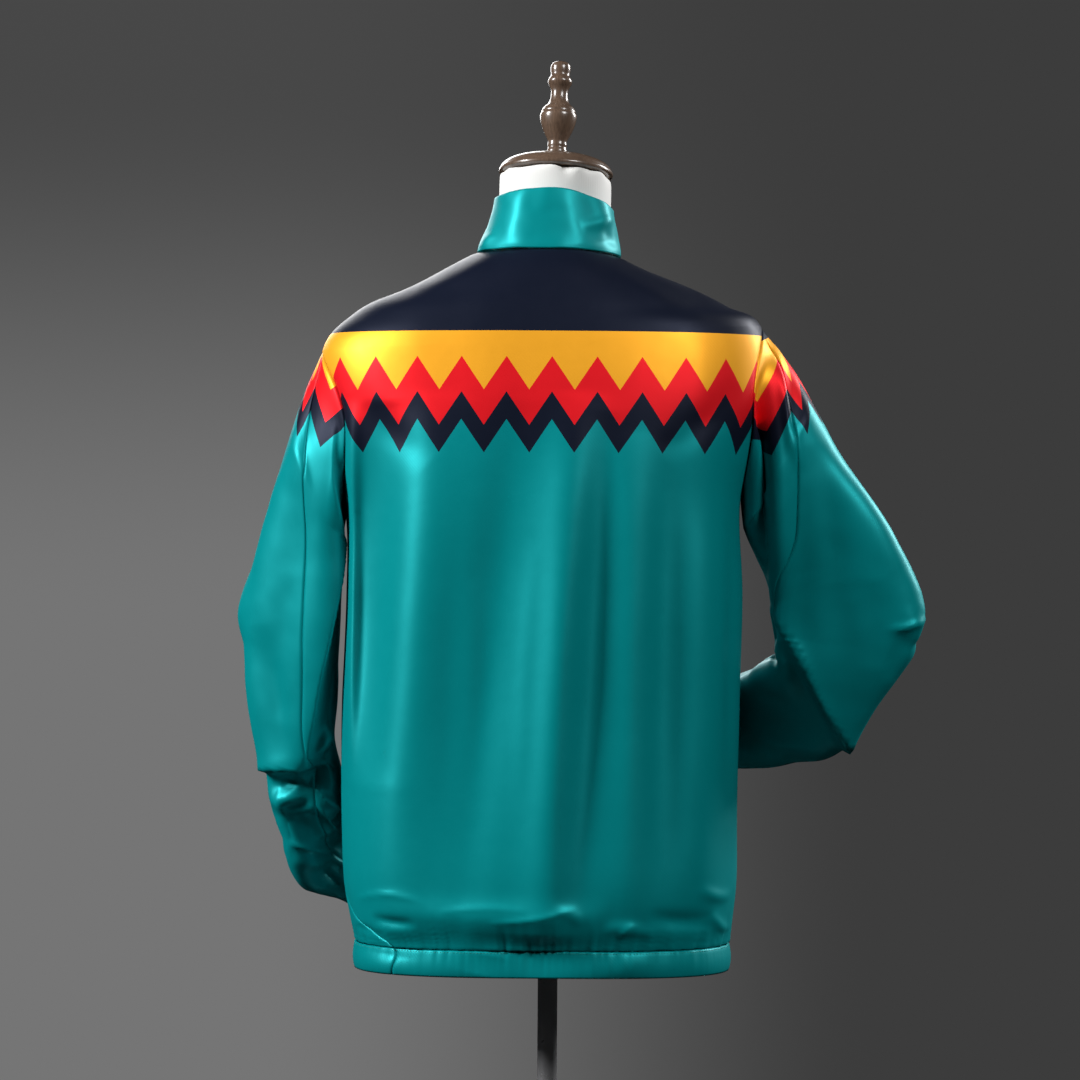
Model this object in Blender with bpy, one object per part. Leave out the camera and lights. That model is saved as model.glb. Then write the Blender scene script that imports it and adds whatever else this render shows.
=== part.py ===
"""A windbreaker on a limbless dress form, in metres, +Z up.

The front of the garment faces -Y and the wearer's left is +X. The origin is the centre of the
base plate's underside. The cloth is made from rings: a ring is a rounded rectangle that is given
by its reach to the left, right, back and front, and by its height at each of those places. Every
panel, casing and tape is a grid on the same rings, so neighbours meet along a seam with one gap.
"""
import math
from collections import namedtuple

import bmesh
import bpy
from mathutils import Matrix, Vector

# Driving dimensions
CLOTH_WALL = 0.0012
DOUBLED_WALL = 0.0024
SEAM_GAP = 0.0003
ZIP_WIDTH = 0.0110
POLE_RADIUS = 0.0102
BASE_RADIUS = 0.180
BASE_THICKNESS = 0.009

# Armholes: half their width in degrees, how round they are, how much the wall's direction follows
# the hole's outline, and the direction that each sleeve leaves in, out to its side and down
HOLE_ANGLE = 17.0
HOLE_ROUNDNESS = 0.6
HOLE_LEAN = 1.4
SLEEVE_OUT = 0.75
SLEEVE_DOWN = 0.66
CAP_BULGE = 0.007
SLEEVE_SQUARE = 3.2

# The dark wood cap on the neck: its radius, its rim's height and its whole height
CAP_RADIUS = 0.0600
CAP_RIM = 0.006
CAP_DOME = 0.022

# The zip's slider and its pull tab, near the collar's top
SLIDER_DROP = 0.006
SLIDER_WIDTH = 0.0084
SLIDER_HEIGHT = 0.0105
SLIDER_DEPTH = 0.0036
SLIDER_EDGE = 0.0007
BRIDGE_WIDTH = 0.0022
BRIDGE_WALL = 0.0011
BRIDGE_EYE = 0.0026
BRIDGE_ROOT = 0.0008
PULL_LENGTH = 0.028
PULL_WIDTH = 0.0074
PULL_THICKNESS = 0.0014
PULL_EYE_WIDTH = 0.0034
PULL_EYE_LENGTH = 0.0042
PULL_EDGE = 0.0003

# How finely each grid is cut
BODY_ROWS_LOW = 10
HOLE_ROWS = 10
SHOULDER_ROWS = 5
BACK_COLUMNS = 18
FRONT_COLUMNS = 9
CASING_ROWS = 2
COLLAR_COLUMNS = 28
COLLAR_ROWS = 5
SEAM_STEP = 1
SLEEVE_CAP_ROWS = 3
SLEEVE_ROWS_PER_SECTION = 2
FORM_COLUMNS = 24
FORM_ROWS = 24
DOME_STEPS = 8
CAP_STEPS = 32
FINIAL_STEPS = 24
POLE_STEPS = 32
BASE_STEPS = 56

Ring = namedtuple("Ring", "name z_left z_right z_back z_front left right back front square seam")

# The body from the hem up to the neckline. "seam" is the left side seam, in degrees behind the side.
BODY_RINGS = [
    Ring("hem edge",      0.7480, 0.7480, 0.7493, 0.7450, 0.2010, 0.1890, 0.1480, 0.1400, 2.6, 35),
    Ring("hem stitch",    0.7755, 0.7755, 0.7765, 0.7720, 0.2000, 0.1875, 0.1465, 0.1390, 2.6, 35),
    Ring("gathers",       0.8000, 0.8000, 0.8010, 0.7980, 0.2050, 0.1905, 0.1530, 0.1450, 2.6, 21),
    Ring("blouson",       0.8420, 0.8420, 0.8430, 0.8400, 0.2120, 0.1945, 0.1550, 0.1470, 2.6, 0),
    Ring("hip",           0.9150, 0.9150, 0.9150, 0.9120, 0.2148, 0.1948, 0.1500, 0.1450, 2.6, 0),
    Ring("waist",         1.0200, 1.0200, 1.0200, 1.0150, 0.2155, 0.1975, 0.1430, 0.1420, 2.6, 0),
    Ring("ribs",          1.1300, 1.1350, 1.1350, 1.1250, 0.2120, 0.2000, 0.1390, 0.1420, 2.6, 0),
    Ring("armpit",        1.2150, 1.2350, 1.2350, 1.2200, 0.2130, 0.1975, 0.1360, 0.1400, 2.6, 0),
    Ring("blade",         1.3080, 1.3350, 1.3250, 1.3000, 0.2300, 0.2240, 0.1290, 0.1320, 2.5, 0),
    Ring("shoulder end",  1.3850, 1.4130, 1.3900, 1.3600, 0.2385, 0.2175, 0.1180, 0.1180, 2.4, 0),
    Ring("shoulder 3/4",  1.4240, 1.4330, 1.4230, 1.3860, 0.2050, 0.1830, 0.1090, 0.1090, 2.3, 0),
    Ring("shoulder 1/2",  1.4460, 1.4520, 1.4480, 1.4060, 0.1600, 0.1440, 0.0990, 0.1000, 2.2, 0),
    Ring("shoulder 1/4",  1.4680, 1.4680, 1.4700, 1.4220, 0.1170, 0.1050, 0.0880, 0.0900, 2.1, 0),
    Ring("neckline",      1.4880, 1.4835, 1.4880, 1.4340, 0.0795, 0.0720, 0.0745, 0.0790, 2.0, 0),
]
HEM, STITCH, ARMPIT, SHOULDER, NECK = 0.0, 1.0, 7.0, 9.0, 13.0

COLLAR_RINGS = [
    Ring("base",   1.4895, 1.4850, 1.4895, 1.4355, 0.0796, 0.0722, 0.0744, 0.0790, 2.0, 0),
    Ring("flare",  1.5010, 1.4960, 1.5030, 1.4480, 0.0755, 0.0702, 0.0700, 0.0780, 2.0, 0),
    Ring("middle", 1.5170, 1.5110, 1.5220, 1.4660, 0.0680, 0.0672, 0.0655, 0.0765, 2.0, 0),
    Ring("upper",  1.5320, 1.5220, 1.5380, 1.4830, 0.0632, 0.0648, 0.0620, 0.0750, 2.0, 0),
    Ring("top",    1.5450, 1.5320, 1.5520, 1.4960, 0.0605, 0.0635, 0.0590, 0.0740, 2.0, 0),
]

# The padded form under the cloth, from its flat underside to the top of its neck.
FORM_RINGS = [
    Ring("underside",  0.8000, 0.8000, 0.8000, 0.8000, 0.1500, 0.1500, 0.1050, 0.0950, 2.2, 0),
    Ring("seat",       0.8600, 0.8600, 0.8600, 0.8600, 0.1680, 0.1680, 0.1200, 0.1020, 2.2, 0),
    Ring("hips",       0.9300, 0.9300, 0.9300, 0.9300, 0.1660, 0.1660, 0.1150, 0.1020, 2.2, 0),
    Ring("waist",      1.0500, 1.0500, 1.0500, 1.0500, 0.1480, 0.1480, 0.0950, 0.1020, 2.2, 0),
    Ring("ribs",       1.1700, 1.1700, 1.1700, 1.1700, 0.1600, 0.1600, 0.1050, 0.1180, 2.2, 0),
    Ring("chest",      1.2700, 1.2700, 1.2700, 1.2600, 0.1780, 0.1760, 0.1150, 0.1200, 2.2, 0),
    Ring("armhole",    1.3400, 1.3500, 1.3400, 1.3200, 0.1960, 0.1840, 0.1130, 0.1130, 2.2, 0),
    Ring("shoulder",   1.3820, 1.3960, 1.3850, 1.3550, 0.1900, 0.1780, 0.1040, 0.1040, 2.2, 0),
    Ring("slope",      1.4180, 1.4260, 1.4250, 1.3880, 0.1540, 0.1400, 0.0920, 0.0930, 2.1, 0),
    Ring("neck root",  1.4520, 1.4560, 1.4580, 1.4160, 0.0980, 0.0900, 0.0760, 0.0800, 2.0, 0),
    Ring("neck low",   1.4880, 1.4860, 1.4900, 1.4480, 0.0620, 0.0620, 0.0560, 0.0700, 2.0, 0),
    Ring("neck",       1.5300, 1.5260, 1.5340, 1.5060, 0.0570, 0.0608, 0.0530, 0.0680, 2.0, 0),
    Ring("neck top",   1.5720, 1.5675, 1.5775, 1.5600, 0.0562, 0.0616, 0.0510, 0.0670, 2.0, 0),
]

# Soft folds of the body: where across and how high, how wide and how deep (troughs are negative).
Fold = namedtuple("Fold", "name angle lean z_low z_high width depth")
BODY_FOLDS = [
    Fold("left edge trough",   41, -4, 0.86, 1.26, 0.030, -0.0045),
    Fold("left blade ridge",   55, -3, 0.80, 1.30, 0.034, 0.0040),
    Fold("inner left trough",  68, -4, 0.84, 1.20, 0.030, -0.0035),
    Fold("middle ridge",       87, -5, 0.80, 1.24, 0.034, 0.0040),
    Fold("middle trough",     104, -3, 0.82, 1.20, 0.030, -0.0035),
    Fold("right ridge",       132, 2, 0.80, 1.22, 0.036, 0.0035),
    Fold("front left ridge",  -50, 3, 0.80, 1.20, 0.034, 0.0040),
    Fold("front left trough", -66, 2, 0.82, 1.10, 0.030, -0.0035),
    Fold("front right trough", -112, 3, 0.84, 1.16, 0.030, -0.0035),
    Fold("front right ridge", -130, -3, 0.80, 1.22, 0.034, 0.0040),
]

# The sleeves: each section's outer and inner edge, half its depth, and its back seam, in degrees
# behind the outer edge. The outline seen from behind runs through the outer and inner edges.
Section = namedtuple("Section", "name outer inner deep seam")
LEFT_SECTIONS = [
    Section("cap",       (0.2690, -0.012, 1.3020), (0.2175, -0.012, 1.1870), 0.061, 70),
    Section("biceps",    (0.2850, -0.026, 1.2500), (0.2170, -0.008, 1.1500), 0.056, 94),
    Section("upper arm", (0.3110, -0.040, 1.1660), (0.2180, -0.001, 1.0980), 0.048, 108),
    Section("elbow",     (0.3272, -0.048, 1.1150), (0.2195,  0.002, 1.0650), 0.043, 114),
    Section("below elbow", (0.3195, -0.048, 1.0720), (0.2200, 0.000, 1.0260), 0.042, 112),
    Section("forearm",   (0.3085, -0.046, 1.0090), (0.2240, -0.007, 0.9850), 0.041, 110),
    Section("low forearm", (0.2985, -0.042, 0.9560), (0.2180, -0.031, 0.9520), 0.042, 107),
    Section("fold",      (0.2940, -0.040, 0.9170), (0.2140, -0.062, 0.9250), 0.043, 104),
    Section("bend",      (0.2830, -0.058, 0.8800), (0.2110, -0.090, 0.9130), 0.042, 100),
    Section("wrist",     (0.2640, -0.092, 0.8350), (0.2030, -0.126, 0.8940), 0.039, 100),
    Section("cuff seam", (0.2240, -0.136, 0.8050), (0.1860, -0.160, 0.8740), 0.036, 100),
    Section("cuff edge", (0.1980, -0.160, 0.7920), (0.1620, -0.182, 0.8620), 0.034, 100),
]
RIGHT_SECTIONS = [
    Section("cap",       (-0.2720, 0.000, 1.3330), (-0.2010, -0.004, 1.2040), 0.061, 66),
    Section("biceps",    (-0.2980, 0.004, 1.2820), (-0.2060, -0.006, 1.1900), 0.056, 88),
    Section("upper arm", (-0.3270, 0.008, 1.2390), (-0.2140, -0.008, 1.1720), 0.051, 109),
    Section("low arm",   (-0.3580, 0.008, 1.1940), (-0.2240, -0.010, 1.1510), 0.048, 134),
    Section("elbow",     (-0.3860, 0.004, 1.1340), (-0.2310, -0.010, 1.1240), 0.046, 146),
    Section("elbow tip", (-0.3830, -0.002, 1.0860), (-0.2360, -0.012, 1.1000), 0.045, 148),
    Section("turn",      (-0.3500, -0.018, 1.0310), (-0.2400, -0.014, 1.0880), 0.044, 150),
    Section("forearm",   (-0.3080, -0.054, 0.9745), (-0.2450, -0.028, 1.0790), 0.042, 150),
    Section("mid forearm", (-0.2640, -0.102, 0.9570), (-0.2300, -0.068, 1.0640), 0.040, 145),
    Section("wrist",     (-0.2130, -0.150, 0.9470), (-0.2010, -0.118, 1.0480), 0.038, 138),
    Section("cuff seam", (-0.1580, -0.186, 0.9470), (-0.1520, -0.164, 1.0330), 0.036, 128),
    Section("cuff edge", (-0.1320, -0.198, 0.9500), (-0.1270, -0.182, 1.0250), 0.034, 120),
]


def clear_scene():
    for item in list(bpy.data.objects):
        bpy.data.objects.remove(item)


def mix(a, b, t):
    return a + (b - a) * t


def catmull_rom(values, t):
    """A smooth curve through evenly numbered values, read at the number t."""
    last = len(values) - 1
    i = min(int(t), last - 1)
    f = t - i
    b, c = values[i], values[i + 1]
    a = values[i - 1] if i > 0 else b * 2 - c
    d = values[i + 2] if i < last - 1 else c * 2 - b
    return b + ((c - a) + ((a * 2 - b * 5 + c * 4 - d) + (b * 3 - a - c * 3 + d) * f) * f) * (f * 0.5)


def ring_at(rings, s):
    return Ring("", *(catmull_rom([ring[k] for ring in rings], s) for k in range(1, len(Ring._fields))))


def ring_point(ring, angle):
    """The place on a ring at an angle: 0 is the left side, 90 the back, 180 the right, -90 the front."""
    c = math.cos(math.radians(angle))
    n = math.sin(math.radians(angle))
    wide = ring.left if c > 0 else ring.right
    deep = ring.back if n > 0 else ring.front
    radius = ((abs(c) / wide) ** ring.square + (abs(n) / deep) ** ring.square) ** (-1.0 / ring.square)
    z_side = ring.z_left if c > 0 else ring.z_right
    z_end = ring.z_back if n > 0 else ring.z_front
    return Vector((radius * c, radius * n, mix(z_end, z_side, c * c)))


def fold_height(angle, point):
    """How far the soft folds lift the cloth at one place on the body."""
    lift = 0.0
    for fold in BODY_FOLDS:
        along = (point.z - fold.z_low) / (fold.z_high - fold.z_low)
        if not 0.0 < along < 1.0:
            continue
        radius = math.hypot(point.x, point.y)
        away = math.radians(angle - fold.angle - fold.lean * (along - 0.5)) * radius
        lift += fold.depth * math.sin(math.pi * along) * math.exp(-(away / fold.width * 2.0) ** 2)
    return lift


def plain_body(s, angle):
    return ring_point(ring_at(BODY_RINGS, s), angle)


def surface_normal(place, s, angle, s_last):
    """The outward direction of a surface of rings, from its neighbours on each side."""
    step = 0.02
    low, high = max(0.0, s - step), min(s_last, s + step)
    up = place(high, angle) - place(low, angle)
    around = place(s, angle + 0.5) - place(s, angle - 0.5)
    return around.cross(up).normalized()


def body_surface(s, angle):
    """The outer face of the body cloth, and its outward direction."""
    point = plain_body(s, angle)
    normal = surface_normal(plain_body, s, angle, NECK)
    return point + normal * fold_height((angle + 180.0) % 360.0 - 180.0, point), normal


def collar_surface(s, angle):
    def plain_collar(t, around):
        return ring_point(ring_at(COLLAR_RINGS, t), around)
    return plain_collar(s, angle), surface_normal(plain_collar, s, angle, len(COLLAR_RINGS) - 1.0)


def hole_angle(s):
    """Half the armhole, in degrees from the side, on the ring numbered s."""
    f = (s - ARMPIT) / (SHOULDER - ARMPIT)
    if not 0.0 < f < 1.0:
        return 0.0
    return HOLE_ANGLE * math.sin(math.pi * f) ** HOLE_ROUNDNESS


def side_seam(s):
    """The left side seam, in degrees behind the side. It twists to the back at the hem."""
    return ring_at(BODY_RINGS, s).seam if s < ARMPIT - 2.0 else 0.0


def hole_ring_numbers():
    """The rings of the armhole's points, from the shoulder end down to the armpit."""
    steps = [0.5 * (1.0 + math.cos(math.pi * k / HOLE_ROWS)) for k in range(HOLE_ROWS + 1)]
    return [ARMPIT + (SHOULDER - ARMPIT) * f for f in steps]


def armhole_loop(side):
    """The armhole from the shoulder end down the back to the armpit and up the front: its points, the
    outward direction of the cloth there, and the direction across the seam, into the sleeve."""
    numbers = hole_ring_numbers()
    stops = [(s, hole_angle(s)) for s in numbers] + [(s, -hole_angle(s)) for s in numbers[-2:0:-1]]
    centre = sum((body_surface(s, at_side(side, a))[0] for s, a in stops), Vector()) / len(stops)
    away = Vector((side * SLEEVE_OUT, 0.0, -SLEEVE_DOWN))
    points = [body_surface(s, at_side(side, angle)) for s, angle in stops]
    loop = []
    for k, (point, normal) in enumerate(points):
        spoke = point - centre
        spoke = (spoke - away * spoke.dot(away)).normalized()
        lean = (normal + spoke * HOLE_LEAN).normalized()
        along = points[(k + 1) % len(points)][0] - points[k - 1][0]
        across = lean.cross(along).normalized()
        loop.append((point, lean, across if across.dot(away) > 0 else -across))
    return loop


def at_side(side, angle):
    """An angle counted from the left side (+1) or from the right side (-1), backwards positive."""
    return angle if side > 0 else 180.0 - angle


def body_rows():
    """The ring numbers of a panel's rows, from the hem stitch to the neckline."""
    low = [mix(STITCH, ARMPIT, k / BODY_ROWS_LOW) for k in range(BODY_ROWS_LOW)]
    hole = hole_ring_numbers()[::-1]
    top = [mix(SHOULDER, NECK, (k + 1) / SHOULDER_ROWS) for k in range(SHOULDER_ROWS)]
    return low + hole + top


def seam_edge(s, side, facing):
    """The edge of a panel at its side: seam, armhole or shoulder. facing is +1 back, -1 front."""
    if ARMPIT < s < SHOULDER:
        return facing * hole_angle(s), False
    shift = side_seam(s) if side > 0 else 0.0
    return shift, True


def two_triangles(mesh, a, b, c, d):
    """A four-sided face cut from a to c, so that the two faces of a wall are cut the same way."""
    mesh.faces.new((a, b, c))
    mesh.faces.new((a, c, d))


def cloth_shell(name, columns, rows, place, wall, material, closed=False):
    """A wall of cloth on a grid. place(column, row) gives the outer face and its outward direction."""
    mesh = bmesh.new()
    outer, inner = [], []
    for j in range(rows + 1):
        spots = [place(i, j) for i in range(columns + (0 if closed else 1))]
        outer.append([mesh.verts.new(point) for point, normal in spots])
        inner.append([mesh.verts.new(point - normal * wall) for point, normal in spots])
    width = len(outer[0])
    steps = range(width if closed else width - 1)
    for j in range(rows):
        for i in steps:
            k = (i + 1) % width
            two_triangles(mesh, outer[j][i], outer[j][k], outer[j + 1][k], outer[j + 1][i])
            two_triangles(mesh, inner[j][i], inner[j + 1][i], inner[j + 1][k], inner[j][k])
    for i in steps:
        k = (i + 1) % width
        two_triangles(mesh, outer[0][i], inner[0][i], inner[0][k], outer[0][k])
        two_triangles(mesh, outer[-1][i], outer[-1][k], inner[-1][k], inner[-1][i])
    if not closed:
        for j in range(rows):
            two_triangles(mesh, outer[j][0], outer[j + 1][0], inner[j + 1][0], inner[j][0])
            two_triangles(mesh, outer[j][-1], inner[j][-1], inner[j + 1][-1], outer[j + 1][-1])
    return finish(name, mesh, material)


def finish(name, mesh, material, flat=False):
    """Turns the faces outwards and makes the named object."""
    bmesh.ops.recalc_face_normals(mesh, faces=mesh.faces)
    data = bpy.data.meshes.new(name)
    mesh.to_mesh(data)
    mesh.free()
    if not flat:
        data.shade_smooth()
        data.set_sharp_from_angle(angle=math.radians(40))
    data.materials.append(material)
    item = bpy.data.objects.new(name, data)
    bpy.context.scene.collection.objects.link(item)
    return item


def material(name, colour, roughness, metallic=0.0):
    finish_of = bpy.data.materials.new(name)
    finish_of.use_nodes = True
    shader = finish_of.node_tree.nodes["Principled BSDF"]
    shader.inputs["Base Color"].default_value = (*colour, 1.0)
    shader.inputs["Roughness"].default_value = roughness
    shader.inputs["Metallic"].default_value = metallic
    return finish_of


def panel_span(s, facing):
    """Both edges of the back (facing +1) or of a front (facing -1 left, -2 right), in degrees."""
    ring = ring_at(BODY_RINGS, s)
    left, left_gap = seam_edge(s, 1, 1 if facing > 0 else -1)
    right, right_gap = seam_edge(s, -1, 1 if facing > 0 else -1)
    gap_left = math.degrees(0.5 * SEAM_GAP / ring.left) if left_gap else 0.0
    gap_right = math.degrees(0.5 * SEAM_GAP / ring.right) if right_gap else 0.0
    zip_half = math.degrees((0.5 * ZIP_WIDTH + SEAM_GAP) / ring.front)
    if facing == 1:
        return left + gap_left, 180.0 - right - gap_right
    if facing == -1:
        return -90.0 + zip_half, left - gap_left
    return 180.0 - right + gap_right, 270.0 - zip_half


def body_panel(name, facing, columns, finish_of):
    """The back or one front, with its armhole edges turned the way the sleeves leave them."""
    numbers = body_rows()
    loops = {1: armhole_loop(1), -1: armhole_loop(-1)}
    hole = hole_ring_numbers()
    edges = {1: {0: 1, columns: -1}, -1: {columns: 1}, -2: {0: -1}}[facing]

    def place(i, j):
        s = numbers[j]
        start, end = panel_span(s, facing)
        point, normal = body_surface(s, mix(start, end, i / columns))
        side = edges.get(i)
        if side and s in hole:
            k = hole.index(s)
            corner = k in (0, HOLE_ROWS)
            k = k if facing > 0 else (2 * HOLE_ROWS - k) % (2 * HOLE_ROWS)
            point, normal = loops[side][k][:2]
            if corner:
                point = point + Vector((0.0, math.copysign(0.5 * SEAM_GAP, facing), 0.0))
        return point, normal

    return cloth_shell(name, columns, len(numbers) - 1, place, CLOTH_WALL, finish_of)


def hem_casing(name, facing, columns, finish_of):
    """The doubled casing below the stitch line of one panel."""
    def place(i, j):
        s = mix(HEM, STITCH, j / CASING_ROWS)
        start, end = panel_span(s, facing)
        point, normal = body_surface(s, mix(start, end, i / columns))
        point.z -= SEAM_GAP if j == CASING_ROWS else 0.0
        return point, normal

    return cloth_shell(name, columns, CASING_ROWS, place, DOUBLED_WALL, finish_of)


def collar(finish_of):
    """The doubled stand collar, from one side of the zip round the neck to the other."""
    last = len(COLLAR_RINGS) - 1.0

    def place(i, j):
        s = mix(0.0, last, j / COLLAR_ROWS)
        half = math.degrees((0.5 * ZIP_WIDTH + SEAM_GAP) / ring_at(COLLAR_RINGS, s).front)
        return collar_surface(s, mix(-90.0 + half, 270.0 - half, i / COLLAR_COLUMNS))

    return cloth_shell("collar", COLLAR_COLUMNS, COLLAR_ROWS, place, DOUBLED_WALL, finish_of)


def zip_line():
    """The zip's centre line from the hem edge to the collar's top: points and directions."""
    low = [HEM, 0.5 * STITCH]
    stops = [body_surface(s, -90.0) for s in low + body_rows()]
    last = len(COLLAR_RINGS) - 1.0
    stops += [collar_surface(mix(0.0, last, k / COLLAR_ROWS), -90.0) for k in range(COLLAR_ROWS + 1)]
    return stops


def zip_tape(finish_of):
    stops = zip_line()

    def place(i, j):
        point, normal = stops[j]
        return point + Vector((ZIP_WIDTH * (i / 2 - 0.5), 0.0, 0.0)), normal

    return cloth_shell("zip_tape", 2, len(stops) - 1, place, CLOTH_WALL, finish_of)


def section_at(sections, t):
    outer = catmull_rom([Vector(row.outer) for row in sections], t)
    inner = catmull_rom([Vector(row.inner) for row in sections], t)
    return outer, inner, catmull_rom([row.deep for row in sections], t), \
        catmull_rom([row.seam for row in sections], t)


def section_point(sections, t, turn):
    """The place on the sleeve at the section numbered t. turn is -1 and 1 at the underarm seam, and
    0 at the back seam."""
    outer, inner, deep, seam = section_at(sections, t)
    step = 0.05
    low, high = max(0.0, t - step), min(len(sections) - 1.0, t + step)
    ahead = section_at(sections, high)
    behind = section_at(sections, low)
    path = ((ahead[0] + ahead[1]) - (behind[0] + behind[1])).normalized()
    half = (outer - inner) * 0.5
    back = (Vector((0.0, 1.0, 0.0)) - path * path.y).normalized() * deep
    angle = mix(seam, 180.0, turn) if turn > 0 else mix(seam, -180.0, -turn)
    c, n = math.cos(math.radians(angle)), math.sin(math.radians(angle))
    reach = (abs(c) ** SLEEVE_SQUARE + abs(n) ** SLEEVE_SQUARE) ** (-1.0 / SLEEVE_SQUARE)
    return (outer + inner) * 0.5 + half * (c * reach) + back * (n * reach)


def sleeve_rows(sections, side):
    """The sleeve as rows of points and directions, each row from the underarm seam forwards over
    the outer edge and the back seam to the underarm seam again."""
    loop = armhole_loop(side)
    count = len(loop)
    order = [(HOLE_ROWS + k) % count for k in range(count + 1)]
    seam_column = order.index(SEAM_STEP)
    turns = [k / seam_column - 1.0 if k < seam_column else (k - seam_column) / (count - seam_column)
             for k in range(count + 1)]
    last = len(sections) - 1.0
    numbers = [k / SLEEVE_ROWS_PER_SECTION for k in range(int(last) * SLEEVE_ROWS_PER_SECTION + 1)]
    rows = [[loop[k][0] for k in order]]
    first = [section_point(sections, 0.0, turn) for turn in turns]
    for j in range(1, SLEEVE_CAP_ROWS):
        f = j / SLEEVE_CAP_ROWS
        bulge = CAP_BULGE * math.sin(math.pi * f)
        rows.append([a.lerp(b, f) + loop[k][1] * (bulge * max(0.0, loop[k][1].z))
                     for a, b, k in zip(rows[0], first, order)])
    rows += [[section_point(sections, t, turn) for turn in turns] for t in numbers]
    rows[0] = [loop[k][0] + loop[k][2] * SEAM_GAP for k in order]
    normals = grid_normals(rows, side)
    normals[0] = [loop[k][1] for k in order]
    return rows, normals, seam_column


def grid_normals(rows, side):
    """Outward directions of a tube of rows whose first and last columns meet."""
    count = len(rows[0]) - 1
    normals = []
    for j, row in enumerate(rows):
        below, above = rows[max(0, j - 1)], rows[min(len(rows) - 1, j + 1)]
        line = []
        for i in range(count + 1):
            around = row[(i + 1) % count] - row[(i - 1) % count]
            line.append((around.cross(above[i % count] - below[i % count]) * -side).normalized())
        normals.append(line)
    return normals


def sleeve(word, sections, side, cloth, cuff_cloth):
    """The two pieces of a sleeve, and its cuff."""
    rows, normals, seam_column = sleeve_rows(sections, side)
    cuff_row = len(rows) - 1 - SLEEVE_ROWS_PER_SECTION
    last = len(rows[0]) - 1

    def off_seam(i, j, towards):
        """A point, moved half a gap off the seam where it lies on one."""
        point, normal = rows[j][i], normals[j][i]
        if towards:
            seam = rows[min(j + 1, cuff_row)][i] - rows[max(j - 1, 0)][i]
            step = normal.cross(seam).normalized()
            step *= 1.0 if step.dot(rows[j][i + towards] - point) > 0 else -1.0
            point = point + step * (0.5 * SEAM_GAP)
        return point, normal

    def outer_piece(i, j):
        return off_seam(i, j, 1 if i == 0 else -1 if i == seam_column else 0)

    def back_piece(i, j):
        i += seam_column
        return off_seam(i, j, 1 if i == seam_column else -1 if i == last else 0)

    def cuff(i, j):
        point, normal = rows[cuff_row + j][i], normals[cuff_row + j][i]
        if j == 0:
            point = point + (rows[cuff_row + 1][i] - point).normalized() * SEAM_GAP
        return point, normal

    cloth_shell(f"sleeve_{word}_outer", seam_column, cuff_row, outer_piece, CLOTH_WALL, cloth)
    cloth_shell(f"sleeve_{word}_back", last - seam_column, cuff_row, back_piece, CLOTH_WALL, cloth)
    cloth_shell(f"cuff_{word}", last, len(rows) - 1 - cuff_row, cuff, DOUBLED_WALL, cuff_cloth, closed=True)


def turned(name, profile, steps, finish_of, place=None):
    """A turned piece: profile is radius and height, from the axis at the bottom to the axis at the
    top."""
    mesh = bmesh.new()
    verts = [mesh.verts.new((radius, 0.0, height)) for radius, height in profile]
    edges = [mesh.edges.new(pair) for pair in zip(verts, verts[1:])]
    bmesh.ops.spin(mesh, geom=verts + edges, cent=(0, 0, 0), axis=(0, 0, 1), angle=math.tau,
                   steps=steps, use_merge=True)
    bmesh.ops.remove_doubles(mesh, verts=mesh.verts, dist=0.00002)
    if place:
        bmesh.ops.transform(mesh, matrix=place, verts=mesh.verts)
    return finish(name, mesh, finish_of)


def neck_plane():
    """The frame of the neck's flat top, where the cap and the finial stand, tilted as the neck is.
    Its origin is the middle, and its z is square to the top."""
    top = FORM_RINGS[-1]
    left = Vector((top.left, 0.0, top.z_left))
    right = Vector((-top.right, 0.0, top.z_right))
    back = Vector((0.0, top.back, top.z_back))
    front = Vector((0.0, -top.front, top.z_front))
    across = (left - right).normalized()
    up = across.cross(back - front).normalized()
    centre = left.lerp(right, 0.5) + (back - front) * (0.5 - top.front / (back - front).y)
    return Matrix.Translation(centre) @ Matrix((across, up.cross(across), up)).transposed().to_4x4()


def form_torso(finish_of):
    """The padded torso with its neck, flat at both ends."""
    mesh = bmesh.new()
    last = len(FORM_RINGS) - 1.0
    grid = []
    for j in range(FORM_ROWS + 1):
        ring = ring_at(FORM_RINGS, last * j / FORM_ROWS)
        grid.append([mesh.verts.new(ring_point(ring, 360.0 * i / FORM_COLUMNS))
                     for i in range(FORM_COLUMNS)])
    plane = neck_plane()
    for vert in grid[-1]:
        level = plane.inverted() @ vert.co
        vert.co.z -= level.z / plane.col[2].z
    for low, high in zip(grid, grid[1:]):
        for i in range(FORM_COLUMNS):
            k = (i + 1) % FORM_COLUMNS
            mesh.faces.new((low[i], low[k], high[k], high[i]))
    mesh.faces.new(grid[0][::-1])
    mesh.faces.new(grid[-1])
    return finish("form_torso", mesh, finish_of)


def neck_cap(finish_of):
    edge = [(CAP_RADIUS - 0.0025, 0.0), (CAP_RADIUS, 0.0018), (CAP_RADIUS, CAP_RIM - 0.001)]
    dome = []
    for k in range(DOME_STEPS):
        f = k / DOME_STEPS
        dome.append((CAP_RADIUS * 0.975 * math.cos(f * math.pi / 2), CAP_RIM + 0.0004
                     + (CAP_DOME - CAP_RIM) * math.sin(f * math.pi / 2)))
    profile = [(0.0, 0.0)] + edge + dome + [(0.0, CAP_DOME)]
    place = neck_plane() @ Matrix.Translation((0.0, 0.0, SEAM_GAP))
    return turned("neck_cap", profile, CAP_STEPS, finish_of, place)


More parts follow.
